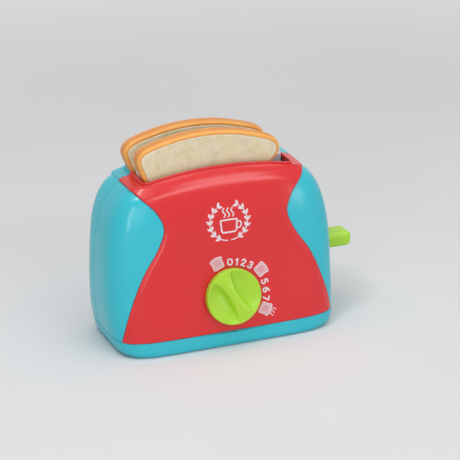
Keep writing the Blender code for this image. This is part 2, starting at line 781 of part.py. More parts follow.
def ear_spans():
    """Left and right faces of the two latch ears."""
    clear = LATCH_WIDTH / 2 + GAP
    return (
        (LATCH_X - clear - LATCH_EAR, LATCH_X - clear),
        (LATCH_X + clear, LATCH_X + clear + LATCH_EAR),
    )


def screw(name, base, axis, direction, head_r=SCREW_HEAD_R, shank_r=SCREW_SHANK_R, head=SCREW_HEAD,
          length=SCREW_LENGTH, parent=None):
    """A pan-head screw whose head sits GAP off its seat at base, its shank along direction."""
    profile = (
        (head_r / 2, -direction * (GAP + head)),
        (head_r, -direction * (GAP + head / 2)),
        (head_r, -direction * GAP),
        (shank_r, -direction * GAP),
        (shank_r, direction * (length - shank_r)),
        (shank_r / 3, direction * length),
    )
    return turned(name, profile, "steel", parent, base=base, axis=axis)


def screws():
    """Four case screws from behind and four base screws from below."""
    for index, (x, z) in enumerate(case_screw_places()):
        screw(f"case_screw_{index + 1}", (x, CASE_SCREW_SEAT_Y, z), "Y", -1)
    for index, (x, y) in enumerate(base_screw_places()):
        screw(f"base_screw_{index + 1}", (x, y, BASE_SCREW_SEAT_Z), "Z", 1)


def stadium(half_length, thickness, grow=0.0):
    """Plan of the divider: a bar with round ends, grown all round."""
    radius = thickness / 2 + grow
    middle = half_length - thickness / 2
    points = []
    for end, start in ((1, -math.pi / 2), (-1, math.pi / 2)):
        for step in range(9):
            angle = start + math.pi * step / 8
            points.append((end * middle + radius * math.cos(angle), DIVIDER_Y + radius * math.sin(angle)))
    return points


def prism(name, plan, low, high, material=None, parent=None):
    """An upright solid on a plan outline."""
    rings = [[(x, y, z) for x, y in plan] for z in (low, high)]
    return add_object(name, loft(rings, name), material, parent)


def slot_divider():
    """Hollow wall between the two bread slots, slit at its foot for the carriage's bridges."""
    low = TRAY_FLOOR + GAP
    plan = stadium(DIVIDER_HALF_LENGTH, DIVIDER_THICKNESS)
    shoulder = stadium(DIVIDER_HALF_LENGTH, DIVIDER_THICKNESS, -DIVIDER_WALL / 2)
    rings = [[(x, y, z) for x, y in plan] for z in (low, DIVIDER_TOP - DIVIDER_WALL / 2)]
    rings.append([(x, y, DIVIDER_TOP) for x, y in shoulder])
    divider = add_object("slot_divider", loft(rings, "slot_divider"), "white")
    hollow = stadium(DIVIDER_HALF_LENGTH, DIVIDER_THICKNESS, -DIVIDER_WALL)
    cuts = [prism("divider_hollow", hollow, low - OVERRUN, DIVIDER_TOP - DIVIDER_WALL)]
    half = BRIDGE_WIDTH / 2 + SLIDING_GAP
    high = CARRIAGE_TOP + LIFT_TRAVEL + ROD_SPARE
    for index, x in enumerate((-BRIDGE_X, BRIDGE_X)):
        front = DIVIDER_Y - DIVIDER_THICKNESS / 2 - OVERRUN
        rear = DIVIDER_Y + DIVIDER_THICKNESS / 2 + OVERRUN
        corner = (x - half, front, low - OVERRUN)
        cuts.append(block(f"divider_slit_{index}", corner, (x + half, rear, high)))
    combine(divider, cuts, "DIFFERENCE")
    return divider


def guide_rods():
    """Steel rods from the tray up through the carriage's bridges."""
    for side, x in (("left", -BRIDGE_X), ("right", BRIDGE_X)):
        low = TRAY_FLOOR + GAP
        high = CARRIAGE_TOP + LIFT_TRAVEL + ROD_SPARE - SLIDING_GAP
        profile = ((ROD_R / 2, low), (ROD_R, low + ROD_R / 2), (ROD_R, high - ROD_R / 2), (ROD_R / 2, high))
        turned(f"guide_rod_{side}", profile, "steel", base=(x, DIVIDER_Y, 0))


def lift_springs():
    """Coil springs round the rods, from the tray's sockets to the carriage's bridges."""
    low = TRAY_FLOOR + ROD_SOCKET + GAP + SPRING_WIRE_R
    high = CARRIAGE_TOP - CARRIAGE_PLATE - GAP - SPRING_WIRE_R
    for side, x in (("left", -BRIDGE_X), ("right", BRIDGE_X)):
        curve = bpy.data.curves.new(f"lift_spring_{side}", "CURVE")
        curve.dimensions = "3D"
        curve.bevel_depth = SPRING_WIRE_R
        curve.bevel_resolution = 0
        curve.use_fill_caps = True
        count = SPRING_TURNS * SPRING_TURN_POINTS + 1
        line = curve.splines.new("POLY")
        line.points.add(count - 1)
        for index in range(count):
            angle = 2 * math.pi * index / SPRING_TURN_POINTS
            height = low + (high - low) * index / (count - 1)
            reach = (x + SPRING_R * math.cos(angle), DIVIDER_Y + SPRING_R * math.sin(angle))
            line.points[index].co = (*reach, height, 1)
        made = bpy.data.objects.new(f"lift_spring_{side}", curve)
        curve.materials.append(plastic("steel"))
        bpy.context.scene.collection.objects.link(made)


def bread_carriage(parent):
    """Plate that carries both slices round the divider, with rims, catch and lever arm."""
    low = CARRIAGE_TOP - CARRIAGE_PLATE
    carriage = block(
        "bread_carriage",
        (-CARRIAGE_HALF_LENGTH, CARRIAGE_FRONT_Y, low),
        (CARRIAGE_HALF_LENGTH, CARRIAGE_REAR_Y, CARRIAGE_TOP),
        "white",
        parent,
    )
    rims = []
    top = CARRIAGE_TOP + CARRIAGE_RIM
    for name, front in (("front_rim", CARRIAGE_FRONT_Y), ("rear_rim", CARRIAGE_REAR_Y - RIM_WALL)):
        rims.append(
            block(name, (-CARRIAGE_HALF_LENGTH, front, low), (CARRIAGE_HALF_LENGTH, front + RIM_WALL, top))
        )
    front = CARRIAGE_FRONT_Y - CATCH_THICKNESS
    rims.append(
        block(
            "catch_tab",
            (LATCH_X - LATCH_WIDTH / 2, front, CARRIAGE_TOP - CATCH_DROP - CARRIAGE_PLATE),
            (LATCH_X + LATCH_WIDTH / 2, CARRIAGE_FRONT_Y + RIM_WALL, CARRIAGE_TOP),
        )
    )
    foot = CARRIAGE_TOP - CATCH_DROP - CARRIAGE_PLATE
    rims.append(
        block(
            "catch_ledge",
            (LATCH_X - LATCH_WIDTH / 2, front - CATCH_LEDGE, foot),
            (LATCH_X + LATCH_WIDTH / 2, front + CATCH_THICKNESS / 2, foot + CATCH_LEDGE_HEIGHT),
        )
    )
    half = ARM_THICKNESS / 2
    arm_low = ARM_Z - ARM_HEIGHT / 2
    end = CASE_HALF_WIDTH + ARM_REACH
    rims.append(
        block(
            "lever_arm",
            (CARRIAGE_HALF_LENGTH - ARM_ROOT, PARTING_Y - half, arm_low),
            (end, PARTING_Y + half, arm_low + ARM_HEIGHT),
        )
    )
    rims.append(
        block(
            "arm_root",
            (CARRIAGE_HALF_LENGTH - ARM_ROOT, PARTING_Y - half, arm_low),
            (CARRIAGE_HALF_LENGTH, PARTING_Y + half, CARRIAGE_TOP),
        )
    )
    combine(carriage, rims, "UNION")
    half = BRIDGE_WIDTH / 2
    spans = (
        (-DIVIDER_HALF_LENGTH - SLIDING_GAP, -BRIDGE_X - half),
        (-BRIDGE_X + half, BRIDGE_X - half),
        (BRIDGE_X + half, DIVIDER_HALF_LENGTH + SLIDING_GAP),
    )
    cuts = []
    across = DIVIDER_THICKNESS / 2 + SLIDING_GAP
    for index, (left, right) in enumerate(spans):
        cuts.append(
            block(
                f"divider_window_{index}",
                (left, DIVIDER_Y - across, low - OVERRUN - ARM_HEIGHT),
                (right, DIVIDER_Y + across, CARRIAGE_TOP + OVERRUN),
            )
        )
    for index, x in enumerate((-BRIDGE_X, BRIDGE_X)):
        hole = ((ROD_R + GAP, low - OVERRUN), (ROD_R + GAP, CARRIAGE_TOP + OVERRUN))
        cuts.append(turned(f"bridge_bore_{index}", hole, base=(x, DIVIDER_Y, 0)))
    radius = LEVER_SCREW_R + GAP
    hole = ((radius, arm_low - OVERRUN), (radius, ARM_Z + ARM_HEIGHT / 4))
    cuts.append(turned("arm_pilot", hole, base=(lever_screw_x(), PARTING_Y, 0)))
    combine(carriage, cuts, "DIFFERENCE")
    return carriage


def lever_screw_x():
    """Where the lever screw enters the arm."""
    return CASE_HALF_WIDTH + (PADDLE_CLEARANCE + ARM_REACH) / 2


def lever_paddle(parent):
    """Rounded finger paddle that slips over the arm's end, and its screw from below."""
    near = CASE_HALF_WIDTH + PADDLE_CLEARANCE
    low = ARM_Z - PADDLE_HEIGHT / 2
    paddle = block(
        "lever_paddle",
        (near, PARTING_Y - PADDLE_DEPTH / 2, low),
        (near + PADDLE_LENGTH, PARTING_Y + PADDLE_DEPTH / 2, low + PADDLE_HEIGHT),
        "lime",
        parent,
    )
    rounding = paddle.modifiers.new("rounding", "BEVEL")
    rounding.width = PADDLE_ROUNDING
    rounding.segments = 3
    rounding.limit_method = "NONE"
    half = ARM_THICKNESS / 2 + GAP
    tall = ARM_HEIGHT / 2 + GAP
    socket = block(
        "paddle_socket",
        (near - OVERRUN, PARTING_Y - half, ARM_Z - tall),
        (CASE_HALF_WIDTH + ARM_REACH + GAP, PARTING_Y + half, ARM_Z + tall),
    )
    profile = (
        (LEVER_SCREW_HEAD_R + GAP, low - OVERRUN),
        (LEVER_SCREW_HEAD_R + GAP, low + LEVER_SCREW_HEAD),
        (LEVER_SCREW_R + GAP, low + LEVER_SCREW_HEAD),
        (LEVER_SCREW_R + GAP, ARM_Z),
    )
    hole = turned("paddle_screw_hole", profile, base=(lever_screw_x(), PARTING_Y, 0))
    combine(paddle, [socket, hole], "DIFFERENCE")
    screw(
        "lever_screw",
        (lever_screw_x(), PARTING_Y, low + LEVER_SCREW_HEAD),
        "Z",
        1,
        LEVER_SCREW_HEAD_R,
        LEVER_SCREW_R,
        LEVER_SCREW_HEAD - 2 * GAP,
        ARM_HEIGHT / 2 + PADDLE_HEIGHT / 4 - LEVER_SCREW_HEAD,
        parent,
    )


def latch():
    """Latch hook on its pin: hub, upright bar with a nose, and a tail beside the dial's cam."""
    carrier = add_empty("latch_axis", (LATCH_X, LATCH_PIVOT_Y, LATCH_PIVOT_Z))
    half = LATCH_WIDTH / 2
    hub = ((LATCH_HUB_R, -half), (LATCH_HUB_R, half))
    hook = turned("latch_hook", hub, "white", carrier, sides=16, axis="X")
    ledge_top = CARRIAGE_TOP - CATCH_DROP - CARRIAGE_PLATE + CATCH_LEDGE_HEIGHT
    nose_low = ledge_top + GAP - LATCH_PIVOT_Z
    bar_top = nose_low + LATCH_NOSE
    ledge_front = CARRIAGE_FRONT_Y - CATCH_THICKNESS - CATCH_LEDGE
    nose_back = ledge_front - GAP - LATCH_PIVOT_Y
    bar = block("hook_bar", (-half, -LATCH_BAR / 2, 0), (half, LATCH_BAR / 2, bar_top), parent=carrier)
    nose = block("hook_nose", (-half, 0, nose_low), (half, nose_back, bar_top), parent=carrier)
    tail = block(
        "hook_tail",
        (-half - LATCH_TAIL_SIDE, -LATCH_TAIL_FRONT, LATCH_TAIL_HEIGHT - LATCH_TAIL_THICKNESS / 2),
        (-half + LATCH_TAIL_SIDE / 2, LATCH_BAR / 4, LATCH_TAIL_HEIGHT + LATCH_TAIL_THICKNESS / 2),
        parent=carrier,
    )
    combine(hook, [bar, nose, tail], "UNION")
    bore = ((LATCH_PIN_R + GAP, -half - OVERRUN), (LATCH_PIN_R + GAP, half + OVERRUN))
    combine(hook, [turned("hook_bore", bore, parent=carrier, axis="X")], "DIFFERENCE")
    reach = half + GAP + LATCH_EAR
    pin = ((LATCH_PIN_R, LATCH_X - reach), (LATCH_PIN_R, LATCH_X + reach))
    turned("latch_pin", pin, "steel", base=(0, LATCH_PIVOT_Y, LATCH_PIVOT_Z), axis="X")


def scoop(name, side, carrier):
    """The cutter of one finger scoop, between the grip bar and the dial's rim.

    Its floor is deepest beside the bar and rises in a curve to the rim; the bar widens at its ends.
    """
    inside = DIAL_R - SCOOP_RIM
    half_length = math.sqrt(inside**2 - (GRIP_HALF_WIDTH + GRIP_FLARE) ** 2)
    shares = np.sin(np.linspace(-math.pi / 2, math.pi / 2, SCOOP_ROWS))
    along = half_length * SCOOP_END_share * shares[:, None]
    bar = GRIP_HALF_WIDTH + GRIP_FLARE * (along / half_length) ** 2
    edge = np.sqrt(inside**2 - along**2)
    across = np.asarray(SCOOP_COLUMN_shares)[None, :]
    beside = side * (bar + (edge - bar) * across)
    lean = math.radians(GRIP_LEAN_DEGREES)
    x = beside * math.cos(lean) - along * math.sin(lean)
    y = beside * math.sin(lean) + along * math.cos(lean)
    wall = np.minimum(across * (edge - bar) / SCOOP_WALL, 1.0)
    depth = SCOOP_DEPTH * wall * (1 - across**2) * (1 - shares[:, None] ** 4)
    low = np.stack([x, y, DIAL_HEIGHT - depth - GAP * (1 - across)], axis=-1)
    high = np.stack([x, y, np.full(x.shape, DIAL_HEIGHT + OVERRUN)], axis=-1)
    keep = np.ones((SCOOP_ROWS - 1, len(SCOOP_COLUMN_shares) - 1), bool)
    return add_object(name, plate(high, low, keep, name), parent=carrier)


def dial():
    """Knob, shaft, cam disc and retaining screw, turning on the dial's leaning axis."""
    carrier = dial_empty("dial_axis")
    profile = (
        (DIAL_R, DIAL_FLOAT),
        (DIAL_R, DIAL_HEIGHT - DIAL_ROUNDING),
        (DIAL_R - DIAL_ROUNDING / 4, DIAL_HEIGHT - DIAL_ROUNDING / 4),
        (DIAL_R - DIAL_ROUNDING, DIAL_HEIGHT),
    )
    knob = turned("dial_knob", profile, "lime", carrier, DIAL_SECTORS)
    combine(knob, [scoop("left_scoop", -1, carrier), scoop("right_scoop", 1, carrier)], "DIFFERENCE")
    bore = ((SHAFT_R + GAP, -OVERRUN), (SHAFT_R + GAP, SHAFT_GRIP + GAP))
    combine(knob, [turned("knob_bore", bore, parent=carrier)], "DIFFERENCE")
    shaft_end = -SHELL_INSIDE - SHAFT_TAIL
    shaft = turned("dial_shaft", ((SHAFT_R, shaft_end), (SHAFT_R, SHAFT_GRIP)), "white", carrier)
    pilot = ((SCREW_SHANK_R, shaft_end - OVERRUN), (SCREW_SHANK_R, shaft_end + SHAFT_TAIL))
    combine(shaft, [turned("shaft_pilot", pilot, parent=carrier)], "DIFFERENCE")
    dial_cam(shaft_end, carrier)
    screw(
        "dial_screw",
        (0, 0, shaft_end),
        "Z",
        1,
        DIAL_SCREW_HEAD_R,
        SCREW_SHANK_R - GAP,
        SCREW_HEAD,
        SHAFT_TAIL - GAP,
        carrier,
    )


def dial_cam(low, carrier):
    """Toothed disc on the shaft's end, with the lug that would push the latch's tail."""
    count = 2 * CAM_TEETH
    rings = []
    for height in (low, low + CAM_THICKNESS):
        ring = []
        for index in range(count):
            radius = CAM_R - CAM_TOOTH * (index % 2)
            angle = 2 * math.pi * index / count
            ring.append((radius * math.cos(angle), radius * math.sin(angle), height))
        rings.append(ring)
    cam = add_object("dial_cam", loft(rings, "dial_cam"), "white", carrier)
    turn = math.radians(DIAL_TURN_DEGREES)
    place = add_empty("cam_lug_axis", (0, 0, 0), (0, 0, turn), carrier)
    half = CAM_LUG_WIDTH / 2
    lug = block(
        "cam_lug",
        (SHAFT_R + OVERRUN, -half, low),
        (CAM_R + CAM_LUG_REACH, half, low + CAM_THICKNESS),
        parent=place,
    )
    combine(cam, [lug], "UNION")
    bore = ((SHAFT_R + GAP, low - OVERRUN), (SHAFT_R + GAP, low + CAM_THICKNESS + OVERRUN))
    combine(cam, [turned("cam_bore", bore, parent=carrier)], "DIFFERENCE")


def pawl_place():
    """y of the pawl under the cam, and the height of the cam's lowest teeth."""
    place, lean = dial_frame()
    back = SHELL_INSIDE + SHAFT_TAIL - CAM_THICKNESS / 2
    y = place[1] + back * math.cos(lean) - CAM_R * math.sin(lean)
    z = place[2] - back * math.sin(lean) - CAM_R * math.cos(lean)
    return y, z - CAM_THICKNESS / 2 * math.sin(lean)


def click_pawl():
    """Springy finger in a socket of the tray, its tip just under the cam's teeth."""
    y, top = pawl_place()
    foot = TRAY_FLOOR + GAP
    half = PAWL_WIDTH / 2
    outline = (
        (y - PAWL_FOOT / 2, foot),
        (y + PAWL_FOOT / 2, foot),
        (y + PAWL_FOOT / 2, foot + PAWL_FOOT_HEIGHT),
        (y + PAWL_THICKNESS / 2, foot + PAWL_FOOT_HEIGHT + PAWL_FOOT / 2),
        (y + PAWL_THICKNESS / 2, top - GAP - PAWL_THICKNESS),
        (y, top - GAP),
        (y - PAWL_THICKNESS / 2, top - GAP - PAWL_THICKNESS),
        (y - PAWL_THICKNESS / 2, foot + PAWL_FOOT_HEIGHT + PAWL_FOOT / 2),
        (y - PAWL_FOOT / 2, foot + PAWL_FOOT_HEIGHT),
    )
    rings = [[(x, side, up) for side, up in outline] for x in (-half, half)]
    add_object("click_pawl", loft(rings, "click_pawl"), "white")


def smooth_loop(points, count):
    """Evenly spread points on a smooth closed curve through the given ones."""
    closed = np.asarray([*points, *points[:3]], float)
    fine = 16
    levels = np.arange(1, len(points) + 1, 1 / fine)
    curve = table_at(closed, levels)
    lengths = np.linalg.norm(np.diff(np.vstack([curve, curve[:1]]), axis=0), axis=1)
    reached = np.concatenate([[0.0], np.cumsum(lengths)])
    wanted = np.linspace(0, reached[-1], count, endpoint=False)
    wrapped = np.vstack([curve, curve[:1]])
    return np.stack([np.interp(wanted, reached, wrapped[:, axis]) for axis in range(2)], axis=1)


def slice_outline():
    """The slice's outer outline in its own plane, x across and z up from its bottom edge."""
    right = [(x * SLICE_HALF_WIDTH, z * SLICE_HEIGHT) for x, z in SLICE_OUTLINE_shares]
    left = [(-x, z) for x, z in right[-2:0:-1]]
    return smooth_loop([*right, *left], SLICE_OUTLINE_POINTS)


def inset_loop(loop, distance):
    """The loop moved inwards square to itself."""
    along = np.roll(loop, -1, axis=0) - np.roll(loop, 1, axis=0)
    along /= np.linalg.norm(along, axis=1, keepdims=True)
    inwards = np.stack([-along[:, 1], along[:, 0]], axis=1)
    return loop + inwards * distance


def slice_seat(lean):
    """How far the leaning slice's lowest point lies below its bottom middle."""
    loop = slice_outline()
    return -float(np.min(loop[:, 1] * math.cos(lean) - loop[:, 0] * math.sin(lean)))


def bread_slice(name, x, y, lean_degrees, parent):
    """One slice: a rounded crust round a crumb that lies a little below its faces."""
    lean = math.radians(lean_degrees)
    carrier = add_empty(name, (x, y, CARRIAGE_TOP + GAP + slice_seat(lean)), (0, lean, 0), parent)
    loop = slice_outline()
    half = SLICE_THICKNESS / 2
    rings = []
    for border_share, depth_share in CRUST_SECTION_shares:
        ring = inset_loop(loop, CRUST_BORDER * border_share)
        rings.append([(px, half * depth_share, pz) for px, pz in ring])
    count = len(loop)
    points = [point for ring in rings for point in ring]
    faces = []
    for row in range(len(rings)):
        for column in range(count):
            after = (column + 1) % count
            low = row * count
            high = (row + 1) % len(rings) * count
            faces.append((low + column, low + after, high + after, high + column))
    add_object(f"{name}_crust", mesh_from(points, faces, f"{name}_crust"), "crust", carrier)
    crumb = inset_loop(loop, CRUST_BORDER + GAP)
    depth = half - CRUMB_SINK
    rings = [[(px, side, pz) for px, pz in crumb] for side in (-depth, depth)]
    add_object(f"{name}_crumb", loft(rings, f"{name}_crumb"), "crumb", carrier)


def build():
    """Makes the whole toaster."""
    clear_scene()
    base_tray()
    front_shell()
    rear_shell()
    front_panel()
    slot_divider()
    guide_rods()
    lift_springs()
    screws()
    click_pawl()
    latch()
    dial()
    lift = add_empty("carriage_slide", (0, 0, 0))
    bread_carriage(lift)
    lever_paddle(lift)
    bread_slice("front_slice", FRONT_SLICE_X, FRONT_SLICE_Y, FRONT_SLICE_LEAN_DEGREES, lift)
    bread_slice("rear_slice", REAR_SLICE_X, REAR_SLICE_Y, REAR_SLICE_LEAN_DEGREES, lift)


if __name__ == "__main__":
    build()
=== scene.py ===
"""Looks of a toy toaster: moulded case, front panel with its print, dial, lever and play bread.

Metres, +Z up, front towards -Y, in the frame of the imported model. Every new piece is a surface
worked out with numpy; each function gives its formula in words.
"""

from __future__ import annotations

import logging
import math
from dataclasses import dataclass, field
from enum import Enum

import bmesh
import bpy
import numpy as np
from mathutils import Matrix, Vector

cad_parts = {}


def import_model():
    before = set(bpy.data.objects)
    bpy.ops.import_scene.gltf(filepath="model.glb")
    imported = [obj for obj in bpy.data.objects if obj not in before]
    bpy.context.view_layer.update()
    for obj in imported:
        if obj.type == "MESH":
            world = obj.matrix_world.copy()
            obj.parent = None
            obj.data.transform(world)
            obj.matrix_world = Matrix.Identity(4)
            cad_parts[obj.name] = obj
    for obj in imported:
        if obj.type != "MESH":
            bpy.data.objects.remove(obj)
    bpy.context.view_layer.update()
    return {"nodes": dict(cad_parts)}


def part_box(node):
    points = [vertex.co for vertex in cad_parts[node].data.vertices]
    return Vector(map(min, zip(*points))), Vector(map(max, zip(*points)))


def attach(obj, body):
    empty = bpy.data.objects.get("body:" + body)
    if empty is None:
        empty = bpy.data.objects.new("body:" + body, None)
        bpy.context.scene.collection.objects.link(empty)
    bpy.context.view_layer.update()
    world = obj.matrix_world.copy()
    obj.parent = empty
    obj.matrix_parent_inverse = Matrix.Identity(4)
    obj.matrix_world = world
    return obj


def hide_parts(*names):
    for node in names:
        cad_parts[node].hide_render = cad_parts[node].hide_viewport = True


LOG = logging.getLogger("toy_toaster")
MM = 0.001
# Points nearer than the first become one; faces thinner than the second are taken out
WELD = 1e-6
SLIVER = 1e-7
# Where most values of a Noise Texture lie
NOISE_SPAN = (0.3, 0.7)
Array = np.ndarray
Row = tuple[float, ...]
Pair = tuple[float, float]
Triple = tuple[float, float, float]
Colour = Triple
# Radius and height, or across and up, of each point
Profile = tuple[Pair, ...]
Socket = bpy.types.NodeSocket
Inputs = dict[str | int, object]


def mm(*values: float) -> Row:
    """Lengths given in millimetres."""
    return tuple(value * MM for value in values)


# ---------------------------------------------------------------- surfaces


@dataclass
class Surface:
    """Points with their quads and triangles, as whole arrays."""

    points: Array
    quads: Array
    triangles: Array = field(default_factory=lambda: np.zeros((0, 3), int))

    def outward(self) -> Surface:
        """Turns every face round if the closed volume comes out negative."""
        parts = (self.quads[:, [0, 1, 2]], self.quads[:, [0, 2, 3]], self.triangles)
        corners = self.points[np.concatenate(parts)]
        if np.linalg.det(corners).sum() < 0:
            return Surface(self.points, self.quads[:, ::-1], self.triangles[:, ::-1])
        return self

    def placed(self, matrix: Matrix) -> Surface:
        """The surface after a turn and a shift."""
        full = np.array(matrix)
        return Surface(self.points @ full[:3, :3].T + full[:3, 3], self.quads, self.triangles)

    def mesh(self, name: str) -> bpy.types.Mesh:
        """A Blender mesh of it, with coinciding points merged."""
        mesh = bpy.data.meshes.new(name)
        mesh.from_pydata(self.points.tolist(), [], self.quads.tolist() + self.triangles.tolist())
        work = bmesh.new()
        work.from_mesh(mesh)
        loose = [point for point in work.verts if not point.link_faces]
        bmesh.ops.delete(work, geom=loose, context="VERTS")
        bmesh.ops.remove_doubles(work, verts=work.verts, dist=WELD)
        bmesh.ops.dissolve_degenerate(work, edges=work.edges, dist=SLIVER)
        work.to_mesh(mesh)
        work.free()
        return mesh


def merged(parts: list[Surface]) -> Surface:
    """All the surfaces as one, in order."""
    starts = np.cumsum([0] + [len(part.points) for part in parts[:-1]])
    return Surface(
        np.concatenate([part.points for part in parts]),
        np.concatenate([part.quads + start for part, start in zip(parts, starts)]),
        np.concatenate([part.triangles + start for part, start in zip(parts, starts)]),
    )


def plate(outer: Array, inner: Array, keep: Array | None = None) -> Surface:
    """Two matching point grids closed into a solid.

    Each kept cell gives a quad on both grids, and each edge between a kept cell and one that isn't
    gives a wall from grid to grid.

    Args:
        outer: Points of the outer side, rows by columns by 3.
        inner: Points of the inner side, in the same order.
        keep: Which cells exist, or None for all.

    Returns:
        The closed surface.
    """
    rows, columns = outer.shape[:2]
    if keep is None:
        keep = np.ones((rows - 1, columns - 1), bool)
    index = np.arange(rows * columns).reshape(rows, columns)
    corners = (index[:-1, :-1], index[:-1, 1:], index[1:, 1:], index[1:, :-1])
    cells = np.stack(corners, axis=-1)[keep]
    shift = rows * columns
    padded = np.pad(keep, 1)
    beyond = (padded[:-2, 1:-1], padded[1:-1, 2:], padded[2:, 1:-1], padded[1:-1, :-2])
    walls = []
    for side, near in enumerate(beyond):
        edge = keep & ~near
        first = corners[side][edge]
        second = corners[(side + 1) % 4][edge]
        walls.append(np.stack([second, first, first + shift, second + shift], axis=-1))
    points = np.concatenate([outer.reshape(-1, 3), inner.reshape(-1, 3)])
    return Surface(points, np.concatenate([cells, cells[:, ::-1] + shift, *walls])).outward()


def tube(rings: Array, wrap: bool = False) -> Surface:
    """Closed rings joined in order.

    Each ring joins the next with quads. The last joins the first, or both ends are closed with a
    fan of triangles to the ring's mean point.

    Args:
        rings: Points, rings by points round by 3.
        wrap: Whether the last ring joins the first.

    Returns:
        The closed surface.
    """
    count, around = rings.shape[:2]
    index = np.arange(count * around).reshape(count, around)
    low = index if wrap else index[:-1]
    high = np.roll(index, -1, axis=0) if wrap else index[1:]
    quads = np.stack([low, np.roll(low, -1, 1), np.roll(high, -1, 1), high], axis=-1).reshape(-1, 4)
    points = rings.reshape(-1, 3)
    if wrap:
        return Surface(points, quads).outward()
    points = np.concatenate([points, rings[:1].mean(axis=1), rings[-1:].mean(axis=1)])
    closing = [np.full(around, count * around + end) for end in (0, 1)]
    first = np.stack([np.roll(index[0], -1), index[0], closing[0]], axis=-1)
    last = np.stack([index[-1], np.roll(index[-1], -1), closing[1]], axis=-1)
    return Surface(points, quads, np.concatenate([first, last])).outward()


def full_turn(steps: int) -> Array:
    """Angles evenly round one turn."""
    return np.linspace(0, 2 * math.pi, steps, endpoint=False)


def circle(radius: Array | float, up: Array | float, angle: Array) -> Array:
    """Points round the z axis, whose radius and height may follow the angle."""
    x, y = radius * np.cos(angle), radius * np.sin(angle)
    return np.stack([x, y, np.broadcast_to(up, x.shape)], axis=-1)


def revolved(profile: Array, sides: int, wrap: bool = False) -> Surface:
    """A profile of (radius, height) carried round the z axis."""
    return tube(circle(profile[:, :1], profile[:, 1:], full_turn(sides)), wrap)


def rounded_box(low: Array, high: Array, radius: float, steps: int) -> Surface:
    """A box with rounded edges: a ball's points, each moved out to the box corner it faces.

    Args:
        low: Lowest corner.
        high: Highest corner.
        radius: Radius of edges and corners.
        steps: Steps in each quarter turn.

    Returns:
        The closed surface.
    """
    middle = (np.asarray(low) + np.asarray(high)) / 2
    half = (np.asarray(high) - np.asarray(low)) / 2 - radius
    quarter = np.linspace(0, math.pi / 2, steps + 1)
    turn = np.concatenate([quarter + k * math.pi / 2 for k in range(4)])
    across = np.repeat([1, -1, -1, 1], steps + 1)
    along = np.repeat([1, 1, -1, -1], steps + 1)
    rise = np.concatenate([quarter - math.pi / 2, quarter])[:, None]
    up = np.repeat([-1, 1], steps + 1)[:, None] + 0 * turn
    x = across * half[0] + radius * np.cos(rise) * np.cos(turn)
    y = along * half[1] + radius * np.cos(rise) * np.sin(turn)
    z = up * half[2] + radius * np.sin(rise)
    return tube(np.stack([x, y, z + 0 * turn], axis=-1) + middle)


def soft_edge(distance: Array, radius: float) -> Array:
    """Drop of a surface at a distance from its rim, on a quarter circle of this radius."""
    short = np.clip(radius - distance, 0, radius)
    return radius - np.sqrt(radius**2 - short**2)


def smooth_step(value: Array) -> Array:
    """Rises from 0 to 1 with level ends: 3t^2 - 2t^3 of the value held between 0 and 1."""
    t = np.clip(value, 0, 1)
    return t * t * (3 - 2 * t)


def ramp(value: Array) -> Array:
    """Rises from 0 with the slope of smooth_step, so on from 1 it climbs as the value does."""
    t = np.clip(value, 0, 1)
    return t**3 - t**4 / 2 + np.maximum(value - 1, 0)


def table_at(table: Array, level: Array) -> Array:
    """Rows of a table at fractional levels, on a cubic through the rows.

    Each piece is a Hermite cubic whose slope at a row is half the difference of its neighbours.

    Args:
        table: Rows of numbers.
        level: Row numbers, which may be fractions.

    Returns:
        One row for each level.
    """
    table = np.asarray(table, float)
    level = np.atleast_1d(np.asarray(level, float))
    last = len(table) - 1
    start = np.clip(np.floor(level).astype(int), 0, last - 1)
    t = (level - start)[:, None]
    here = table[start]
    after = table[start + 1]
    leave = (after - table[np.maximum(start - 1, 0)]) / 2
    arrive = (table[np.minimum(start + 2, last)] - here) / 2
    blend = 3 * t**2 - 2 * t**3
    blended = (1 - blend) * here + blend * after
    return blended + (t**3 - 2 * t**2 + t) * leave + (t**3 - t**2) * arrive


def path_lengths(path: Array) -> Array:
    """Length of a path up to each of its points, which run along the first axis."""
    steps = np.linalg.norm(np.diff(path, axis=0), axis=-1)
    return np.concatenate([np.zeros_like(steps[:1]), np.cumsum(steps, axis=0)])


def path_at(path: Array, known: Array, wanted: Array) -> Array:
    """Flat points at the wanted places of a path whose own points stand at the known ones."""
    return np.stack([np.interp(wanted, known, path[:, axis]) for axis in range(2)], axis=1)


def put(name: str, data: bpy.types.ID) -> bpy.types.Object:
    """A new object in the scene with this data."""
    made = bpy.data.objects.new(name, data)
    bpy.context.scene.collection.objects.link(made)
    return made


def cut(target: Surface | bpy.types.Mesh, cutters: list[Surface], name: str) -> bpy.types.Mesh:
    """The target's mesh with the cutters taken out of it by one Boolean.

    Args:
        target: What is cut.
        cutters: Closed surfaces that stand clear of each other.
        name: Name of the new mesh.

    Returns:
        The mesh that is left.
    """
    solid = target.mesh(name) if isinstance(target, Surface) else target
    whole = put(name, solid)
    tool = put(name + "_tool", merged(cutters).mesh(name + "_tool"))
    step = whole.modifiers.new("cut", "BOOLEAN")
    step.operation = "DIFFERENCE"
    step.solver = "MANIFOLD"
    step.object = tool
    graph = bpy.context.evaluated_depsgraph_get()
    mesh = bpy.data.meshes.new_from_object(whole.evaluated_get(graph))
    for item in (whole, tool):
        bpy.data.objects.remove(item, do_unlink=True)
    return mesh


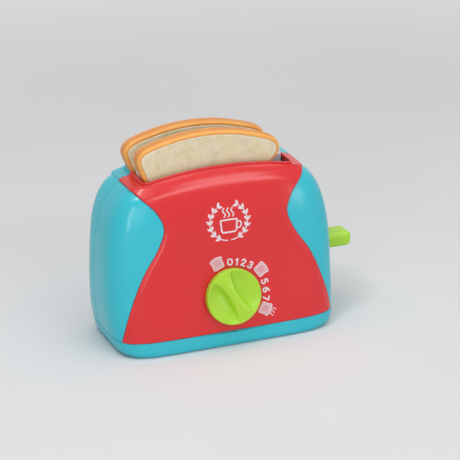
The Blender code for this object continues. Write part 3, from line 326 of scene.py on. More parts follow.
def add_piece(
    name: str,
    shape: Surface | bpy.types.Mesh,
    finish: Finish,
    body: Body,
    replaces: tuple[str, ...] = (),
    sharp: float = 40.0,
) -> bpy.types.Object:
    """Adds a finished piece to the scene, on its body.

    Args:
        name: The piece's name.
        shape: Its surface or mesh, in place.
        finish: What it is made of.
        body: The body it moves with.
        replaces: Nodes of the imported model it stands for.
        sharp: Angle in degrees from which an edge is drawn sharp.

    Returns:
        The new object.
    """
    mesh = shape.mesh(name) if isinstance(shape, Surface) else shape
    mesh.name = name
    mesh.shade_smooth()
    mesh.set_sharp_from_angle(angle=math.radians(sharp))
    mesh.materials.clear()
    mesh.materials.append(finish.material())
    made = put(name, mesh)
    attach(made, body.value)
    if replaces:
        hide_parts(*replaces)
    LOG.info("%s: %d faces on %s", name, len(mesh.polygons), body.value)
    return made


def points_of(piece: bpy.types.Object) -> Array:
    """The points of a piece's mesh."""
    points = np.empty(len(piece.data.vertices) * 3)
    piece.data.vertices.foreach_get("co", points)
    return points.reshape(-1, 3)


def mark(piece: bpy.types.Object, name: str, values: Array) -> None:
    """Keeps a number for each point of a piece, for its finish to read."""
    piece.data.attributes.new(name, "FLOAT", "POINT").data.foreach_set("value", values)


class Body(Enum):
    """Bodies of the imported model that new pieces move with."""

    CASE = "case"
    CARRIAGE = "carriage"
    FRONT_SLICE = "front_slice"
    REAR_SLICE = "rear_slice"
    DIAL = "dial"


# ---------------------------------------------------------------- finishes


class Nodes:
    """Short calls for one node tree."""

    def __init__(self, tree: bpy.types.NodeTree) -> None:
        """Keeps the tree."""
        self.tree = tree

    def feed(self, node: bpy.types.Node, values: Inputs) -> None:
        """Links inputs to output sockets, or sets them to values."""
        for key, value in values.items():
            if isinstance(value, Socket):
                self.tree.links.new(value, node.inputs[key])
            else:
                node.inputs[key].default_value = value

    def add(self, kind: str, values: Inputs | None = None, **settings: object) -> bpy.types.Node:
        """Adds a node, sets its settings, and feeds its inputs.

        Args:
            kind: The node's type.
            values: Input name or number to a value or to an output socket.
            settings: Properties of the node.

        Returns:
            The node.
        """
        node = self.tree.nodes.new(kind)
        for key, value in settings.items():
            setattr(node, key, value)
        self.feed(node, values or {})
        return node

    def maths(
        self, operation: str, first: object, second: object = 0.0, clamp: bool = False
    ) -> Socket:
        """The result of one Math node."""
        values = {0: first, 1: second}
        return self.add("ShaderNodeMath", values, operation=operation, use_clamp=clamp).outputs[0]

    def times(self, first: object, second: object) -> Socket:
        """The product of two values."""
        return self.maths("MULTIPLY", first, second)

    def weighted(self, *terms: tuple[object, object]) -> Socket:
        """The sum of values, each times its weight."""
        total = self.times(*terms[0])
        for term in terms[1:]:
            total = self.maths("ADD", total, self.times(*term))
        return total

    def off_middle(self, value: object) -> Socket:
        """How far a value lies from a half."""
        return self.maths("ABSOLUTE", self.maths("SUBTRACT", value, 0.5))

    def noise(
        self, place: object, scale: object, detail: float = 3.0, warp: float = 0.0
    ) -> Socket:
        """The value of a Noise Texture."""
        values = {"Vector": place, "Scale": scale, "Detail": detail, "Distortion": warp}
        return self.add("ShaderNodeTexNoise", values).outputs["Fac"]

    def fit(
        self,
        value: object,
        span: Pair,
        goal: Pair = (0.0, 1.0),
    ) -> Socket:
        """The value moved smoothly from one range to another."""
        inputs = {"Value": value, "From Min": span[0], "From Max": span[1]}
        inputs |= {"To Min": goal[0], "To Max": goal[1]}
        return self.add("ShaderNodeMapRange", inputs, interpolation_type="SMOOTHSTEP").outputs[0]

    def mix(self, share: object, first: object, second: object, blend: str = "MIX") -> Socket:
        """A Mix of two colours."""
        values = {0: share, 6: first, 7: second}
        return self.add("ShaderNodeMix", values, data_type="RGBA", blend_type=blend).outputs[2]

    def shaded(self, colour: object, factor: Socket, blue: Socket | None = None) -> Socket:
        """The colour times a factor, with another one for its blue if given."""
        channels = {0: factor, 1: factor, 2: factor if blue is None else blue}
        factors = self.add("ShaderNodeCombineColor", channels)
        return self.mix(1.0, colour, factors.outputs[0], "MULTIPLY")

    def bump(self, height: Socket, distance: float, strength: float = 1.0) -> Socket:
        """The normal that a Bump node gives for a height."""
        values = {"Height": height, "Distance": distance, "Strength": strength}
        return self.add("ShaderNodeBump", values).outputs["Normal"]


def opaque(colour: Colour) -> tuple[float, float, float, float]:
    """The colour with full alpha."""
    return (*colour, 1.0)


def node_group(
    name: str, inputs: dict[str, str], outputs: dict[str, str]
) -> tuple[bpy.types.NodeTree, Nodes, bpy.types.NodeOutputs]:
    """An empty shader group with named sockets.

    Args:
        name: The group's name.
        inputs: Input names with their socket types.
        outputs: Output names with their socket types.

    Returns:
        The group, short calls for it, and its input sockets by name.
    """
    group = bpy.data.node_groups.new(name, "ShaderNodeTree")
    for flow, sockets in (("INPUT", inputs), ("OUTPUT", outputs)):
        for key, kind in sockets.items():
            group.interface.new_socket(key, in_out=flow, socket_type="NodeSocket" + kind)
    nodes = Nodes(group)
    return group, nodes, nodes.add("NodeGroupInput").outputs


def mottling() -> bpy.types.NodeTree:
    """The shared group for uneven colour: slow clouds and fine flecks, lighter and darker.

    The colour is multiplied by one plus twice Depth times the noise's difference from a half.
    """
    found = bpy.data.node_groups.get("mottling")
    if found:
        return found
    inputs = {"Place": "Vector", "Colour": "Color", "Depth": "Float", "Scale": "Float"}
    group, nodes, given = node_group("mottling", inputs, {"Colour": "Color"})
    clouds = nodes.noise(given["Place"], given["Scale"], 4.0)
    flecks = nodes.noise(given["Place"], nodes.times(given["Scale"], 14.0), 2.0)
    both = nodes.weighted((clouds, 0.7), (flecks, 0.3))
    swing = nodes.times(nodes.maths("SUBTRACT", both, 0.5), given["Depth"])
    factor = nodes.maths("ADD", nodes.times(swing, 2.0), 1.0)
    nodes.add("NodeGroupOutput", {"Colour": nodes.shaded(given["Colour"], factor)})
    return group


def handling() -> bpy.types.NodeTree:
    """The shared group for use: smudges and hairline scratches in gloss, and moulding ripple.

    Smudges add to the roughness where slow noise is high, scratches where noise stretched along
    one axis is near its middle; the height is a faint ripple less the scratches.
    """
    found = bpy.data.node_groups.get("handling")
    if found:
        return found
    inputs = dict.fromkeys(("Place", "Roughness", "Smudge", "Scratch", "Ripple"), "Float")
    inputs["Place"] = "Vector"
    group, nodes, given = node_group("handling", inputs, {"Roughness": "Float", "Height": "Float"})
    place = given["Place"]
    smudge = nodes.fit(nodes.noise(place, 38.0, 4.0), (0.42, 0.68))
    stretch = {"Vector": place, "Rotation": (0.5, 0.3, 0.9), "Scale": (1400.0, 22.0, 60.0)}
    stretched = nodes.add("ShaderNodeMapping", stretch).outputs[0]
    hair = nodes.fit(nodes.off_middle(nodes.noise(stretched, 1.0, 1.0)), (0.0, 0.012), (1.0, 0.0))
    patch = nodes.fit(nodes.noise(place, 25.0, 1.0), (0.52, 0.66))
    hair = nodes.times(nodes.times(hair, patch), given["Scratch"])
    rough = nodes.maths("ADD", given["Roughness"], nodes.times(smudge, given["Smudge"]))
    rough = nodes.maths("ADD", rough, nodes.times(hair, 0.12), clamp=True)
    ripple = nodes.times(nodes.noise(place, 190.0, 2.0), given["Ripple"])
    height = nodes.maths("SUBTRACT", ripple, nodes.times(hair, 0.4))
    nodes.add("NodeGroupOutput", {"Roughness": rough, "Height": height})
    return group


@dataclass(frozen=True)
class Wear:
    """How much use shows on a finish.

    Smudge is the roughness that smudges add, scratch and ripple run from 0 to 1, and depth is the
    bump's full height in metres.
    """

    smudge: float
    scratch: float
    ripple: float
    depth: float


@dataclass(frozen=True)
class Finish:
    """What every finish has: a name, a slot name, colour and roughness."""

    name: str
    slot: str
    colour: Colour
    roughness: float

    def material(self) -> bpy.types.Material:
        """The finish's material, made once."""
        found = bpy.data.materials.get(self.name)
        if found:
            return found
        made = bpy.data.materials.new(self.name)
        made.use_nodes = True
        nodes = Nodes(made.node_tree)
        place = nodes.add("ShaderNodeTexCoord").outputs["Object"]
        nodes.feed(made.node_tree.nodes["Principled BSDF"], self.inputs(nodes, place))
        return made

    def inputs(self, nodes: Nodes, place: Socket) -> Inputs:
        """What the shader's inputs get; each kind of finish has its own."""
        raise NotImplementedError

    def worn(self, nodes: Nodes, place: Socket, wear: Wear) -> Inputs:
        """Roughness and normal with the shared use of the surface.

        Args:
            nodes: Short calls for the material's tree.
            place: Object coordinates.
            wear: How much use shows.

        Returns:
            Both inputs of the shader.
        """
        values = {"Place": place, "Roughness": self.roughness, "Smudge": wear.smudge}
        values |= {"Scratch": wear.scratch, "Ripple": wear.ripple}
        use = nodes.add("ShaderNodeGroup", values, node_tree=handling())
        normal = nodes.bump(use.outputs["Height"], wear.depth)
        return {"Roughness": use.outputs["Roughness"], "Normal": normal}

    @staticmethod
    def mottled(nodes: Nodes, place: Socket, colour: object, depth: float, scale: float) -> Socket:
        """The colour made uneven by the shared group."""
        values = {"Place": place, "Colour": colour, "Depth": depth, "Scale": scale}
        return nodes.add("ShaderNodeGroup", values, node_tree=mottling()).outputs["Colour"]


@dataclass(frozen=True)
class MouldedPlastic(Finish):
    """Glossy moulded plastic with faint clouds, smudges, hairlines and ripple."""

    cloud: float = 0.05
    cloud_scale: float = 16.0
    gloss: float = 0.5
    wear: Wear = Wear(0.06, 0.4, 0.12, 0.00006)

    def inputs(self, nodes: Nodes, place: Socket) -> Inputs:
        """Mottled colour, gloss, and the shared use of the surface."""
        colour = self.mottled(nodes, place, opaque(self.colour), self.cloud, self.cloud_scale)
        even = {"Base Color": colour, "Specular IOR Level": self.gloss}
        return even | self.worn(nodes, place, self.wear)


@dataclass(frozen=True)
class ToastedCrust(Finish):
    """Crust whose colour deepens from its rim to its middle, by the piece's toast attribute."""

    dark: Colour
    broken: float = 0.16
    wear: Wear = Wear(0.08, 0.2, 1.0, 0.00012)

    def inputs(self, nodes: Nodes, place: Socket) -> Inputs:
        """Blends light and dark by the attribute, broken up by noise, with a skin of fine pits."""
        toast = nodes.add("ShaderNodeAttribute", attribute_name="toast").outputs["Fac"]
        noise = nodes.fit(nodes.noise(place, 60.0, 4.0), NOISE_SPAN, (-self.broken, self.broken))
        share = nodes.maths("ADD", toast, noise, clamp=True)
        blend = nodes.mix(share, opaque(self.colour), opaque(self.dark))
        colour = self.mottled(nodes, place, blend, 0.08, 40.0)
        return {"Base Color": colour} | self.worn(nodes, place, self.wear)


@dataclass(frozen=True)
class BreadCrumb(Finish):
    """Cream plastic with the moulded grain of cut bread: shallow creases, pores, faint flecks."""

    # Colour of the painted highlight along the rim, and its largest share
    pale: Colour = (0.86, 0.80, 0.66)
    rim_highlight_share: float = 0.8
    # Pores, lumps and creases: their scales, and their shares of the relief
    scales: Triple = (700.0, 150.0, 330.0)
    shares: Triple = (0.15, 0.6, 0.25)
    depth: float = 0.00025

    def inputs(self, nodes: Nodes, place: Socket) -> Inputs:
        """Relief of pores, lumps and warped creases; colour follows it and pales at the rim."""
        cells = {"Vector": place, "Scale": self.scales[0], "Randomness": 1.0}
        spots = nodes.add("ShaderNodeTexVoronoi", cells).outputs["Distance"]
        pores = nodes.fit(spots, (0.1, 0.5))
        lumps = nodes.fit(nodes.noise(place, self.scales[1], 5.0), NOISE_SPAN)
        warped = nodes.noise(place, self.scales[2], warp=1.6)
        creases = nodes.fit(nodes.off_middle(warped), (0.0, 0.06))
        relief = nodes.weighted(*zip((pores, lumps, creases), self.shares))
        # Painted shade: the colour darkens with the relief in pores and creases and lightens a
        # little on lumps
        shade = nodes.fit(relief, (0.15, 0.95), (0.90, 1.04))
        warm = nodes.fit(nodes.noise(place, 75.0), (0.35, 0.65), (0.92, 1.05))
        # Painted highlight: the colour pales along the rim, by the piece's rim attribute
        rim = nodes.add("ShaderNodeAttribute", attribute_name="rim").outputs["Fac"]
        share = nodes.times(rim, self.rim_highlight_share)
        plain = nodes.mix(share, opaque(self.colour), opaque(self.pale))
        base = nodes.shaded(plain, shade, nodes.times(shade, warm))
        return {
            "Base Color": self.mottled(nodes, place, base, 0.07, 60.0),
            "Roughness": nodes.fit(relief, (0.0, 1.0), (self.roughness + 0.2, self.roughness)),
            "Normal": nodes.bump(relief, self.depth, 0.9),
        }


@dataclass(frozen=True)
class PlainSteel(Finish):
    """Bright plated steel with drawn lines and dull spots."""

    def inputs(self, nodes: Nodes, place: Socket) -> Inputs:
        """Metal whose gloss follows fine drawn lines."""
        stretch = {"Vector": place, "Scale": (2600.0, 2600.0, 90.0)}
        lines = nodes.noise(nodes.add("ShaderNodeMapping", stretch).outputs[0], 1.0, 2.0)
        roughness = (self.roughness - 0.08, self.roughness + 0.12)
        return {
            "Base Color": self.mottled(nodes, place, opaque(self.colour), 0.14, 160.0),
            "Metallic": 1.0,
            "Roughness": nodes.fit(lines, NOISE_SPAN, roughness),
            "Normal": nodes.bump(lines, 0.00001, 0.6),
        }


@dataclass(frozen=True)
class PadPrint(Finish):
    """Ink printed on plastic, thinner in spots where the plastic shows through."""

    under: Colour
    cover: float
    wear: Wear = Wear(0.08, 0.4, 0.3, 0.00004)

    def inputs(self, nodes: Nodes, place: Socket) -> Inputs:
        """Mixes plastic and ink by the ink's cover, broken up by fine and slow noise."""
        fine = nodes.fit(nodes.noise(place, 2400.0, 2.0), NOISE_SPAN, (-0.07, 0.05))
        slow = nodes.fit(nodes.noise(place, 180.0), NOISE_SPAN, (-0.05, 0.04))
        cover = nodes.maths("ADD", nodes.maths("ADD", fine, slow), self.cover, clamp=True)
        colour = nodes.mix(cover, opaque(self.under), opaque(self.colour))
        return {"Base Color": colour} | self.worn(nodes, place, self.wear)


TEAL = MouldedPlastic("moulded_teal", "case_teal", (0.030, 0.540, 0.650), 0.20)
RED = MouldedPlastic("moulded_red", "panel_red", (0.740, 0.022, 0.026), 0.20)
LIME = MouldedPlastic("moulded_lime", "control_lime", (0.425, 0.735, 0.035), 0.24)
WHITE = MouldedPlastic("moulded_white", "inner_white", (0.700, 0.670, 0.720), 0.38)
CRUST = ToastedCrust(
    "toasted_crust", "bread_crust", (0.905, 0.440, 0.100), 0.42, dark=(0.740, 0.265, 0.045)
)
CRUMB = BreadCrumb("pored_crumb", "bread_crumb", (0.790, 0.690, 0.470), 0.50)
STEEL = PlainSteel("plated_steel", "fastener_steel", (0.600, 0.600, 0.610), 0.32)
INK = PadPrint("print_white", "inner_white", (0.830, 0.780, 0.830), 0.40, RED.colour, 0.94)
PALE_INK = PadPrint("print_pale", "inner_white", (0.780, 0.660, 0.760), 0.40, RED.colour, 0.55)


# ---------------------------------------------------------------- case


@dataclass(frozen=True)
class CaseForm:
    """The case's outer surface: rounded plans stacked from the tray's rim to the lip.

    A plan is a superellipse |x/w|^n + |y/r|^n = 1 about the parting plane, with its own reach and
    corner squareness in front and behind.
    """

    half_width: float = 88.5 * MM
    reaches: Pair = (51.3 * MM, 28.3 * MM)
    lip_half_width: float = 57.5 * MM
    lip_reaches: Pair = (30.0 * MM, 16.3 * MM)
    parting: float = 11.5 * MM
    foot: float = 12.3 * MM
    lip_foot: float = 122.8 * MM
    arch: float = 6.2 * MM
    gap: float = 0.3 * MM
    raised: float = 1.2 * MM
    wall: float = 2.2 * MM
    horn_level: float = 8.75
    samples: int = 261
    # Height, width, front reach and rear reach between lip and widest, arch, panel half width
    rows: tuple[Row, ...] = (
        (0.000, 0.916, 0.997, 0.990, 0.00, 0.921),
        (0.133, 0.982, 0.950, 0.990, 0.00, 0.876),
        (0.296, 1.000, 0.835, 0.930, 0.00, 0.803),
        (0.450, 0.981, 0.712, 0.850, 0.03, 0.712),
        (0.595, 0.939, 0.630, 0.775, 0.10, 0.590),
        (0.721, 0.858, 0.565, 0.690, 0.21, 0.528),
        (0.825, 0.732, 0.468, 0.610, 0.37, 0.577),
        (0.907, 0.561, 0.340, 0.530, 0.58, 0.669),
        (0.958, 0.380, 0.186, 0.410, 0.77, 0.726),
        (0.983, 0.235, 0.085, 0.290, 0.90, 0.744),
        (1.000, 0.000, 0.000, 0.000, 1.00, 0.650),
    )
    # Squareness of the plan's corners at each row, in front and behind
    corners: tuple[Pair, ...] = (
        (5.6, 5.0),
        (4.8, 4.6),
        (4.5, 4.3),
        (4.9, 4.3),
        (4.9, 4.6),
        (4.9, 5.8),
        (5.2, 7.2),
        (5.6, 8.4),
        (5.6, 9.0),
        (7.0, 9.5),
        (14.0, 14.0),
    )

    def row(self, level: Array, rear: bool) -> tuple[Array, ...]:
        """Height, half width, reach, arch, squareness and panel half width at each level."""
        shares = table_at(self.rows, level)
        squareness = table_at(self.corners, level)[:, int(rear)]
        height = self.foot + (self.lip_foot - self.foot) * shares[:, 0]
        half_width = self.lip_half_width + (self.half_width - self.lip_half_width) * shares[:, 1]
        near, far = self.lip_reaches[rear], self.reaches[rear]
        reach = near + (far - near) * shares[:, 3 if rear else 2]
        panel = np.minimum(self.half_width * shares[:, 5], half_width - self.raised / 3)
        return height, half_width, reach, self.arch * shares[:, 4], squareness, panel

    @staticmethod
    def plan(
        angle: Array, half_width: Array, reach: Array, squareness: Array
    ) -> tuple[Array, Array]:
        """Across and out on the rounded plan: cos and sin of the angle over their n-norm."""
        across = np.cos(angle)
        out = np.sin(angle)
        norm = (np.abs(across) ** squareness + np.abs(out) ** squareness) ** (1 / squareness)
        return half_width * across / norm, reach * out / norm

    @staticmethod
    def plan_angle(across: Array, squareness: Array) -> Array:
        """The plan's angle at a share of its half width, from the plan's own equation."""
        share = across**squareness
        return np.arctan(((1 - share) / share) ** (1 / squareness))

    def depth(self, out: Array, rear: bool) -> Array:
        """The y of a distance out from the parting plane."""
        return self.parting + (out if rear else -out)

    def point(self, level: Array, angle: Array, rear: bool) -> Array:
        """Points of the surface; the height rises by the arch towards the middle."""
        height, half_width, reach, arch, squareness, _ = self.row(level, rear)
        x, out = self.plan(angle, half_width, reach, squareness)
        up = height + arch * (1 - (x / half_width) ** 2)
        return np.stack([x, self.depth(out, rear), up], axis=-1)

    def skin(self, level: Array, angle: Array, depth: Array, rear: bool) -> Array:
        """Points of the surface moved along its normal, found from small steps both ways."""
        level, angle, depth = np.broadcast_arrays(level, angle, depth)
        shape = level.shape
        level, angle, depth = level.ravel(), angle.ravel(), depth.ravel()
        step = 1e-3
        above = self.point(np.minimum(level + step, len(self.rows) - 1), angle, rear)
        up = above - self.point(np.maximum(level - step, 0), angle, rear)
        along = self.point(level, angle + step, rear) - self.point(level, angle - step, rear)
        normal = np.cross(along, up) * (1 if rear else -1)
        normal /= np.linalg.norm(normal, axis=1, keepdims=True)
        return (self.point(level, angle, rear) + normal * depth[:, None]).reshape(*shape, 3)

    def panel_angle(self, level: Array, margin: float, rear: bool) -> Array:
        """Angle where a line this far outside the panel's edge crosses each level."""
        _, half_width, _, _, squareness, panel = self.row(level, rear)
        across = np.minimum((panel + margin) / half_width, 1 - self.gap / half_width)
        return self.plan_angle(across, squareness)

    def on_face(self, x: Array, z: Array, lift: Array | float, rear: bool = False) -> Array:
        """Points on the face at these x and z, lifted off it.

        The level is read off the heights at that x, the angle from the plan's own equation.

        Args:
            x: Places across.
            z: Heights.
            lift: Distances off the surface.
            rear: Whether on the back.

        Returns:
            The points.
        """
        shape = np.shape(x)
        x, z, lift = (np.broadcast_to(value, shape).ravel() for value in (x, z, lift))
        level = np.linspace(0, len(self.rows) - 1, self.samples)
        height, half_width, _, arch, _, _ = self.row(level, rear)
        heights = height + arch * (1 - np.minimum((x[:, None] / half_width) ** 2, 1))
        after = np.clip((heights < z[:, None]).sum(axis=1), 1, len(level) - 1)
        pick = np.arange(len(x))
        low, high = heights[pick, after - 1], heights[pick, after]
        share = np.clip((z - low) / (high - low), 0, 1)
        found = level[after - 1] + (level[1] - level[0]) * share
        _, half_width, _, _, squareness, _ = self.row(found, rear)
        angle = self.plan_angle(np.clip(np.abs(x) / half_width, 1e-5, 0.9999), squareness)
        angle = np.where(x < 0, math.pi - angle, angle)
        return self.skin(found, angle, lift, rear).reshape(*shape, 3)


@dataclass
class Case:
    """Tray, two shells and the raised front panel, with the lip round the bread opening."""

    form: CaseForm = field(default_factory=CaseForm)
    panel_wall: float = 1.8 * MM
    # Level at which the shoulder meets the lip, and where the front shell ends under the panel
    lip_level: float = 9.98
    shell_top: float = 9.3
    lip_bead: float = 1.8 * MM
    lip_wall: float = 1.8 * MM
    lip_rounding: float = 0.4 * MM
    lip_corner: float = 24.0
    lip_groove: float = 0.22 * MM
    edge_rounding: float = 0.35 * MM
    # Heights up the panel, and how far inside its edge the bevel begins there
    bevel_heights: Row = mm(12.0, 40.0, 70.0, 88.0, 100.0, 124.0)
    bevel_widths: Row = mm(4.6, 4.4, 3.7, 3.0, 1.8, 1.0)
    # Steep slope and its run-in, gentle slope, and where and over what length it takes over
    bevel: Row = (0.55, 0.8 * MM, 0.12, 0.9 * MM, 1.0 * MM)
    bevel_shares: Row = (1.35, 1.15, 1.0, 0.9, 0.8, 0.7, 0.58, 0.45, 0.3, 0.18, 0.1, 0.04, 0.0)
    # Places outside the panel's edge at which the land beside it has its columns
    land_margins: Row = mm(1.5, 1.1, 0.8, 0.6, 0.45, 0.36, 0.3, 0.15)
    land_edge: float = 0.2 * MM
    seam_rounding: float = 0.7 * MM
    rear_seam_rounding: float = 0.3 * MM
    foot_rounding: float = 0.3 * MM
    seam_steps: Row = mm(0.0, 0.05, 0.14, 0.3, 0.5, 0.75, 1.1)
    foot_steps: Row = mm(0.0, 0.04, 0.11, 0.22, 0.36, 0.6)
    rear_edge: float = 1.3 * MM
    rear_edge_steps: int = 11
    side_columns: int = 16
    face_columns: int = 34
    level_steps: int = 84
    # Least steps in level from the rows at the foot, and from those at the horns, to the others
    clearances: Pair = (0.06, 0.01)
    tray_height: float = 12.0 * MM
    tray_floor: float = 2.2 * MM
    tray_proud: float = 0.35 * MM
    tray_step: float = 1.2 * MM
    tray_rounding: float = 0.8 * MM
    tray_columns: int = 97
    # Width of the band along the flat bottom's edge that shades with the edge
    bottom_band: float = 0.6 * MM
    tray_roundings: Triple = mm(8.8, 3.2, 6.0)
    # Height, side, front and rear shares of the tray's rounding, squareness of its front corners
    tray_rows: tuple[Row, ...] = (
        (0.00, 1.00, 1.00, 1.00, 7.4),
        (0.10, 0.85, 0.45, 0.66, 7.0),
        (0.33, 0.40, 0.05, 0.17, 6.4),
        (0.62, 0.14, 0.00, 0.04, 5.8),
        (1.00, 0.00, 0.00, 0.00, 5.5),
    )
    screw_x: float = 66.0 * MM
    screw_heights: Pair = mm(30.0, 97.0)
    screw_seat: float = 20.0 * MM
    base_seat: float = 3.5 * MM
    base_rows: Pair = mm(-8.0, 24.0)
    lever_slot: Triple = mm(3.2, 45.3, 74.7)
    # How far cutters stand out of what they cut
    over: float = 4.0 * MM
    # Bores for shank and head, outer radii in front and behind, depth of the front boss's bore
    bore: float = 1.8 * MM
    head_bore: float = 3.05 * MM
    boss_radii: Pair = mm(3.6, 3.9)
    pilot: float = 18.0 * MM
    front_sink: float = 2.7 * MM
    # Radius of the holes in the rear shell through which the screws go in
    access: float = 3.0 * MM
    # Radius and height in mm round the upright axes of the tray's and the shells' base bosses
    base_boss_profile: Profile = ((1.8, 22.0), (1.8, 7.3), (3.3, 7.3), (3.3, 30.0))
    hole_profile: Profile = ((3.0, -4.0), (3.0, 2.0))
    cup_profile: Profile = ((4.8, 1.1), (4.8, 7.0), (1.8, 7.0), (1.8, 3.5), (3.0, 3.5), (3.0, 1.1))
    socket_profile: Profile = ((1.5, 2.2), (1.5, 4.0), (3.0, 4.0), (3.0, 1.1))
    socket_places: Profile = (mm(-30.0, 3.0), mm(30.0, 3.0))
    # Low and high corners in mm of both latch ears and of the locating rib
    blocks: tuple[tuple[Triple, Triple], ...] = (
        ((19.7, -24.5, 1.1), (21.7, -17.5, 27.5)),
        ((30.3, -24.5, 1.1), (32.3, -17.5, 27.5)),
        ((-12.0, 0.2, 1.1), (12.0, 5.8, 8.2)),
    )
    pawl_gap: float = 0.3 * MM
    pawl_wall: float = 1.6 * MM
    pawl_heights: Pair = mm(1.1, 5.2)
    sharp: float = 35.0

    def build(self) -> None:
        """Builds and dresses all four mouldings."""
        self.base_tray()
        self.front_shell()
        self.rear_shell()
        self.front_panel()

    def screw_places(self, rows: Pair) -> list[Pair]:
        """Left and right place of a screw in each row, with the row's height or depth."""
        return [(x, row) for row in rows for x in (-self.screw_x, self.screw_x)]

    def levels(self, top: float, rear: bool) -> tuple[Array, int]:
        """Levels from the foot to the top, close together at the foot and at the panel's horns.

        Args:
            top: Highest level.
            rear: Whether for the back.

        Returns:
            The levels, and the row at which the horns begin.
        """
        form = self.form
        fine = np.linspace(0, 1, 400)
        height = form.row(fine, rear)[0] - form.foot
        foot = np.interp(self.foot_steps, height, fine)
        ends = form.point(np.array([form.horn_level, form.horn_level + 1]), np.zeros(2), rear)
        pace = 1 / np.linalg.norm(ends[1] - ends[0])
        steps = np.asarray(self.bevel_shares) * self.bevel_widths[-1] * pace
        horn = form.horn_level + np.concatenate([-steps, steps[-2::-1]])
        between = np.linspace(foot[-1], top, self.level_steps)
        near_foot, near_horn = self.clearances
        clear = between > foot[-1] + near_foot
        clear &= np.abs(between - form.horn_level) > steps[0] + near_horn
        levels = np.concatenate([foot, between[clear], horn[horn <= top]])
        levels = np.unique(np.append(levels, top))
        return levels, int(np.argmin(np.abs(levels - form.horn_level)))

    def columns(self, levels: Array, rear: bool, margins: Array) -> tuple[Array, int]:
        """Angles of the columns on each level, mirrored about the middle.

        They run from the right parting edge over the seam's steps, the side, the steps across the
        panel's edge and the face.

        Args:
            levels: The levels.
            rear: Whether for the back.
            margins: Places across the panel's edge, outside it positive, falling; one row for each
                place, with one number or one for each level.

        Returns:
            The angles, rows by columns, and the column of the panel's edge.
        """
        form = self.form
        reach = form.row(levels, rear)[2]
        start = form.gap if rear else 0.0
        seam = (start + np.asarray(self.seam_steps))[None, :] / reach[:, None]
        edge = np.stack([form.panel_angle(levels, margin, rear) for margin in margins], axis=1)
        share = np.linspace(0, 1, self.side_columns + 1)[1:-1]
        side = seam[:, -1:] + (edge[:, :1] - seam[:, -1:]) * share
        share = np.linspace(0, 1, self.face_columns + 1)[1:]
        face = edge[:, -1:] + (math.pi / 2 - edge[:, -1:]) * share
        right = np.concatenate([seam, side, edge, face], axis=1)
        nearest = int(np.argmin(np.abs(margins.reshape(len(margins), -1)[:, 0])))
        zero = seam.shape[1] + side.shape[1] + nearest
        return np.concatenate([right, math.pi - right[:, -2::-1]], axis=1), zero

    def raised_distance(self, levels: Array, angles: Array, horn_row: int, rear: bool) -> Array:
        """Distance inside the raised area, negative outside it.

        The area is all between the panel's two edges and all above the horns' level, so inside both
        it is measured to the corner, and elsewhere to the nearer edge.

        Args:
            levels: The levels.
            angles: Angles of the columns.
            horn_row: The row of the horns' level.
            rear: Whether on the back.

        Returns:
            The distances, rows by columns.
        """
        base = self.form.skin(levels[:, None], angles, 0.0, rear)
        inside = self.form.row(levels, rear)[5][:, None] - np.abs(base[:, :, 0])
        lengths = path_lengths(base)
        above = lengths - lengths[horn_row]
        both = (inside > 0) & (above > 0)
        return np.where(both, np.hypot(inside, above), np.maximum(inside, above))

    def seam_drop(self, levels: Array, angles: Array, rear: bool) -> Array:
        """Rounding at the parting plane and at the foot, by the distance to each."""
        base = self.form.skin(levels[:, None], angles, 0.0, rear)
        start = self.form.gap if rear else 0.0
        apart = np.maximum(np.abs(base[:, :, 1] - self.form.parting) - start, 0)
        up = np.maximum(base[:, :, 2] - self.form.foot, 0)
        side = soft_edge(apart, self.rear_seam_rounding if rear else self.seam_rounding)
        return np.maximum(side, soft_edge(up, self.foot_rounding))

    def skins(
        self, levels: Array, angles: Array, outer: Array, inner: Array, rear: bool
    ) -> tuple[Array, Array]:
        """Outer and inner point grids, their lowest rows set level above the tray."""
        low = self.form.foot + np.asarray(self.foot_steps)
        made = []
        for depth in (outer, inner):
            grid = self.form.skin(levels[:, None], angles, depth, rear)
            grid[: len(low), :, 2] = low[:, None]
            made.append(grid)
        return made[0], made[1]

    def lip(self, angles: Array, drop: float, rear: bool) -> tuple[Array, Array]:
        """Outer and inner rows of the lip: walls that stand on the shoulder, rounded at the top.

        Args:
            angles: Angles of the columns.
            drop: How far the inner side starts below the lip's foot.
            rear: Whether for the back.

        Returns:
            Both point grids.
        """
        form = self.form
        turn = np.linspace(0, math.pi / 2, 5)
        radius = self.lip_rounding
        rise = self.lip_bead - radius + radius * np.sin(turn)
        inset = radius * (1 - np.cos(turn))
        groove, wall = self.lip_groove, self.lip_wall
        outer = [(-groove / 4, groove / 6), (groove, groove / 4), (groove, 1.5 * groove)]
        outer += [(0.0, 2.5 * groove), *zip(inset, rise)]
        inner = [(wall, -drop), (wall, -drop / 2), (wall, 0.0), (wall, groove)]
        inner += list(zip(wall - inset, rise))
        grids = []
        for profile, corner in ((outer, form.corners[-1][rear]), (inner, self.lip_corner)):
            rings = []
            for shift, height in profile:
                reach = form.lip_reaches[rear] - shift
                x, out = form.plan(angles, form.lip_half_width - shift, reach, corner)
                y = form.depth(np.maximum(out, form.gap if rear else 0.0), rear)
                z = form.lip_foot + height + form.arch * (1 - (x / form.lip_half_width) ** 2)
                rings.append(np.stack([x, y, z], axis=-1))
            grids.append(np.stack(rings))
        return grids[0], grids[1]

    def slot_cutter(self) -> Surface:
        """The box that opens the slot for the lever's arm."""
        form = self.form
        half, low, high = self.lever_slot
        left = form.half_width - form.raised - form.wall - self.over
        right = form.half_width + self.over
        near, far = form.parting - half, form.parting + half
        return rounded_box((left, near, low), (right, far, high), 0.2 * MM, 2)

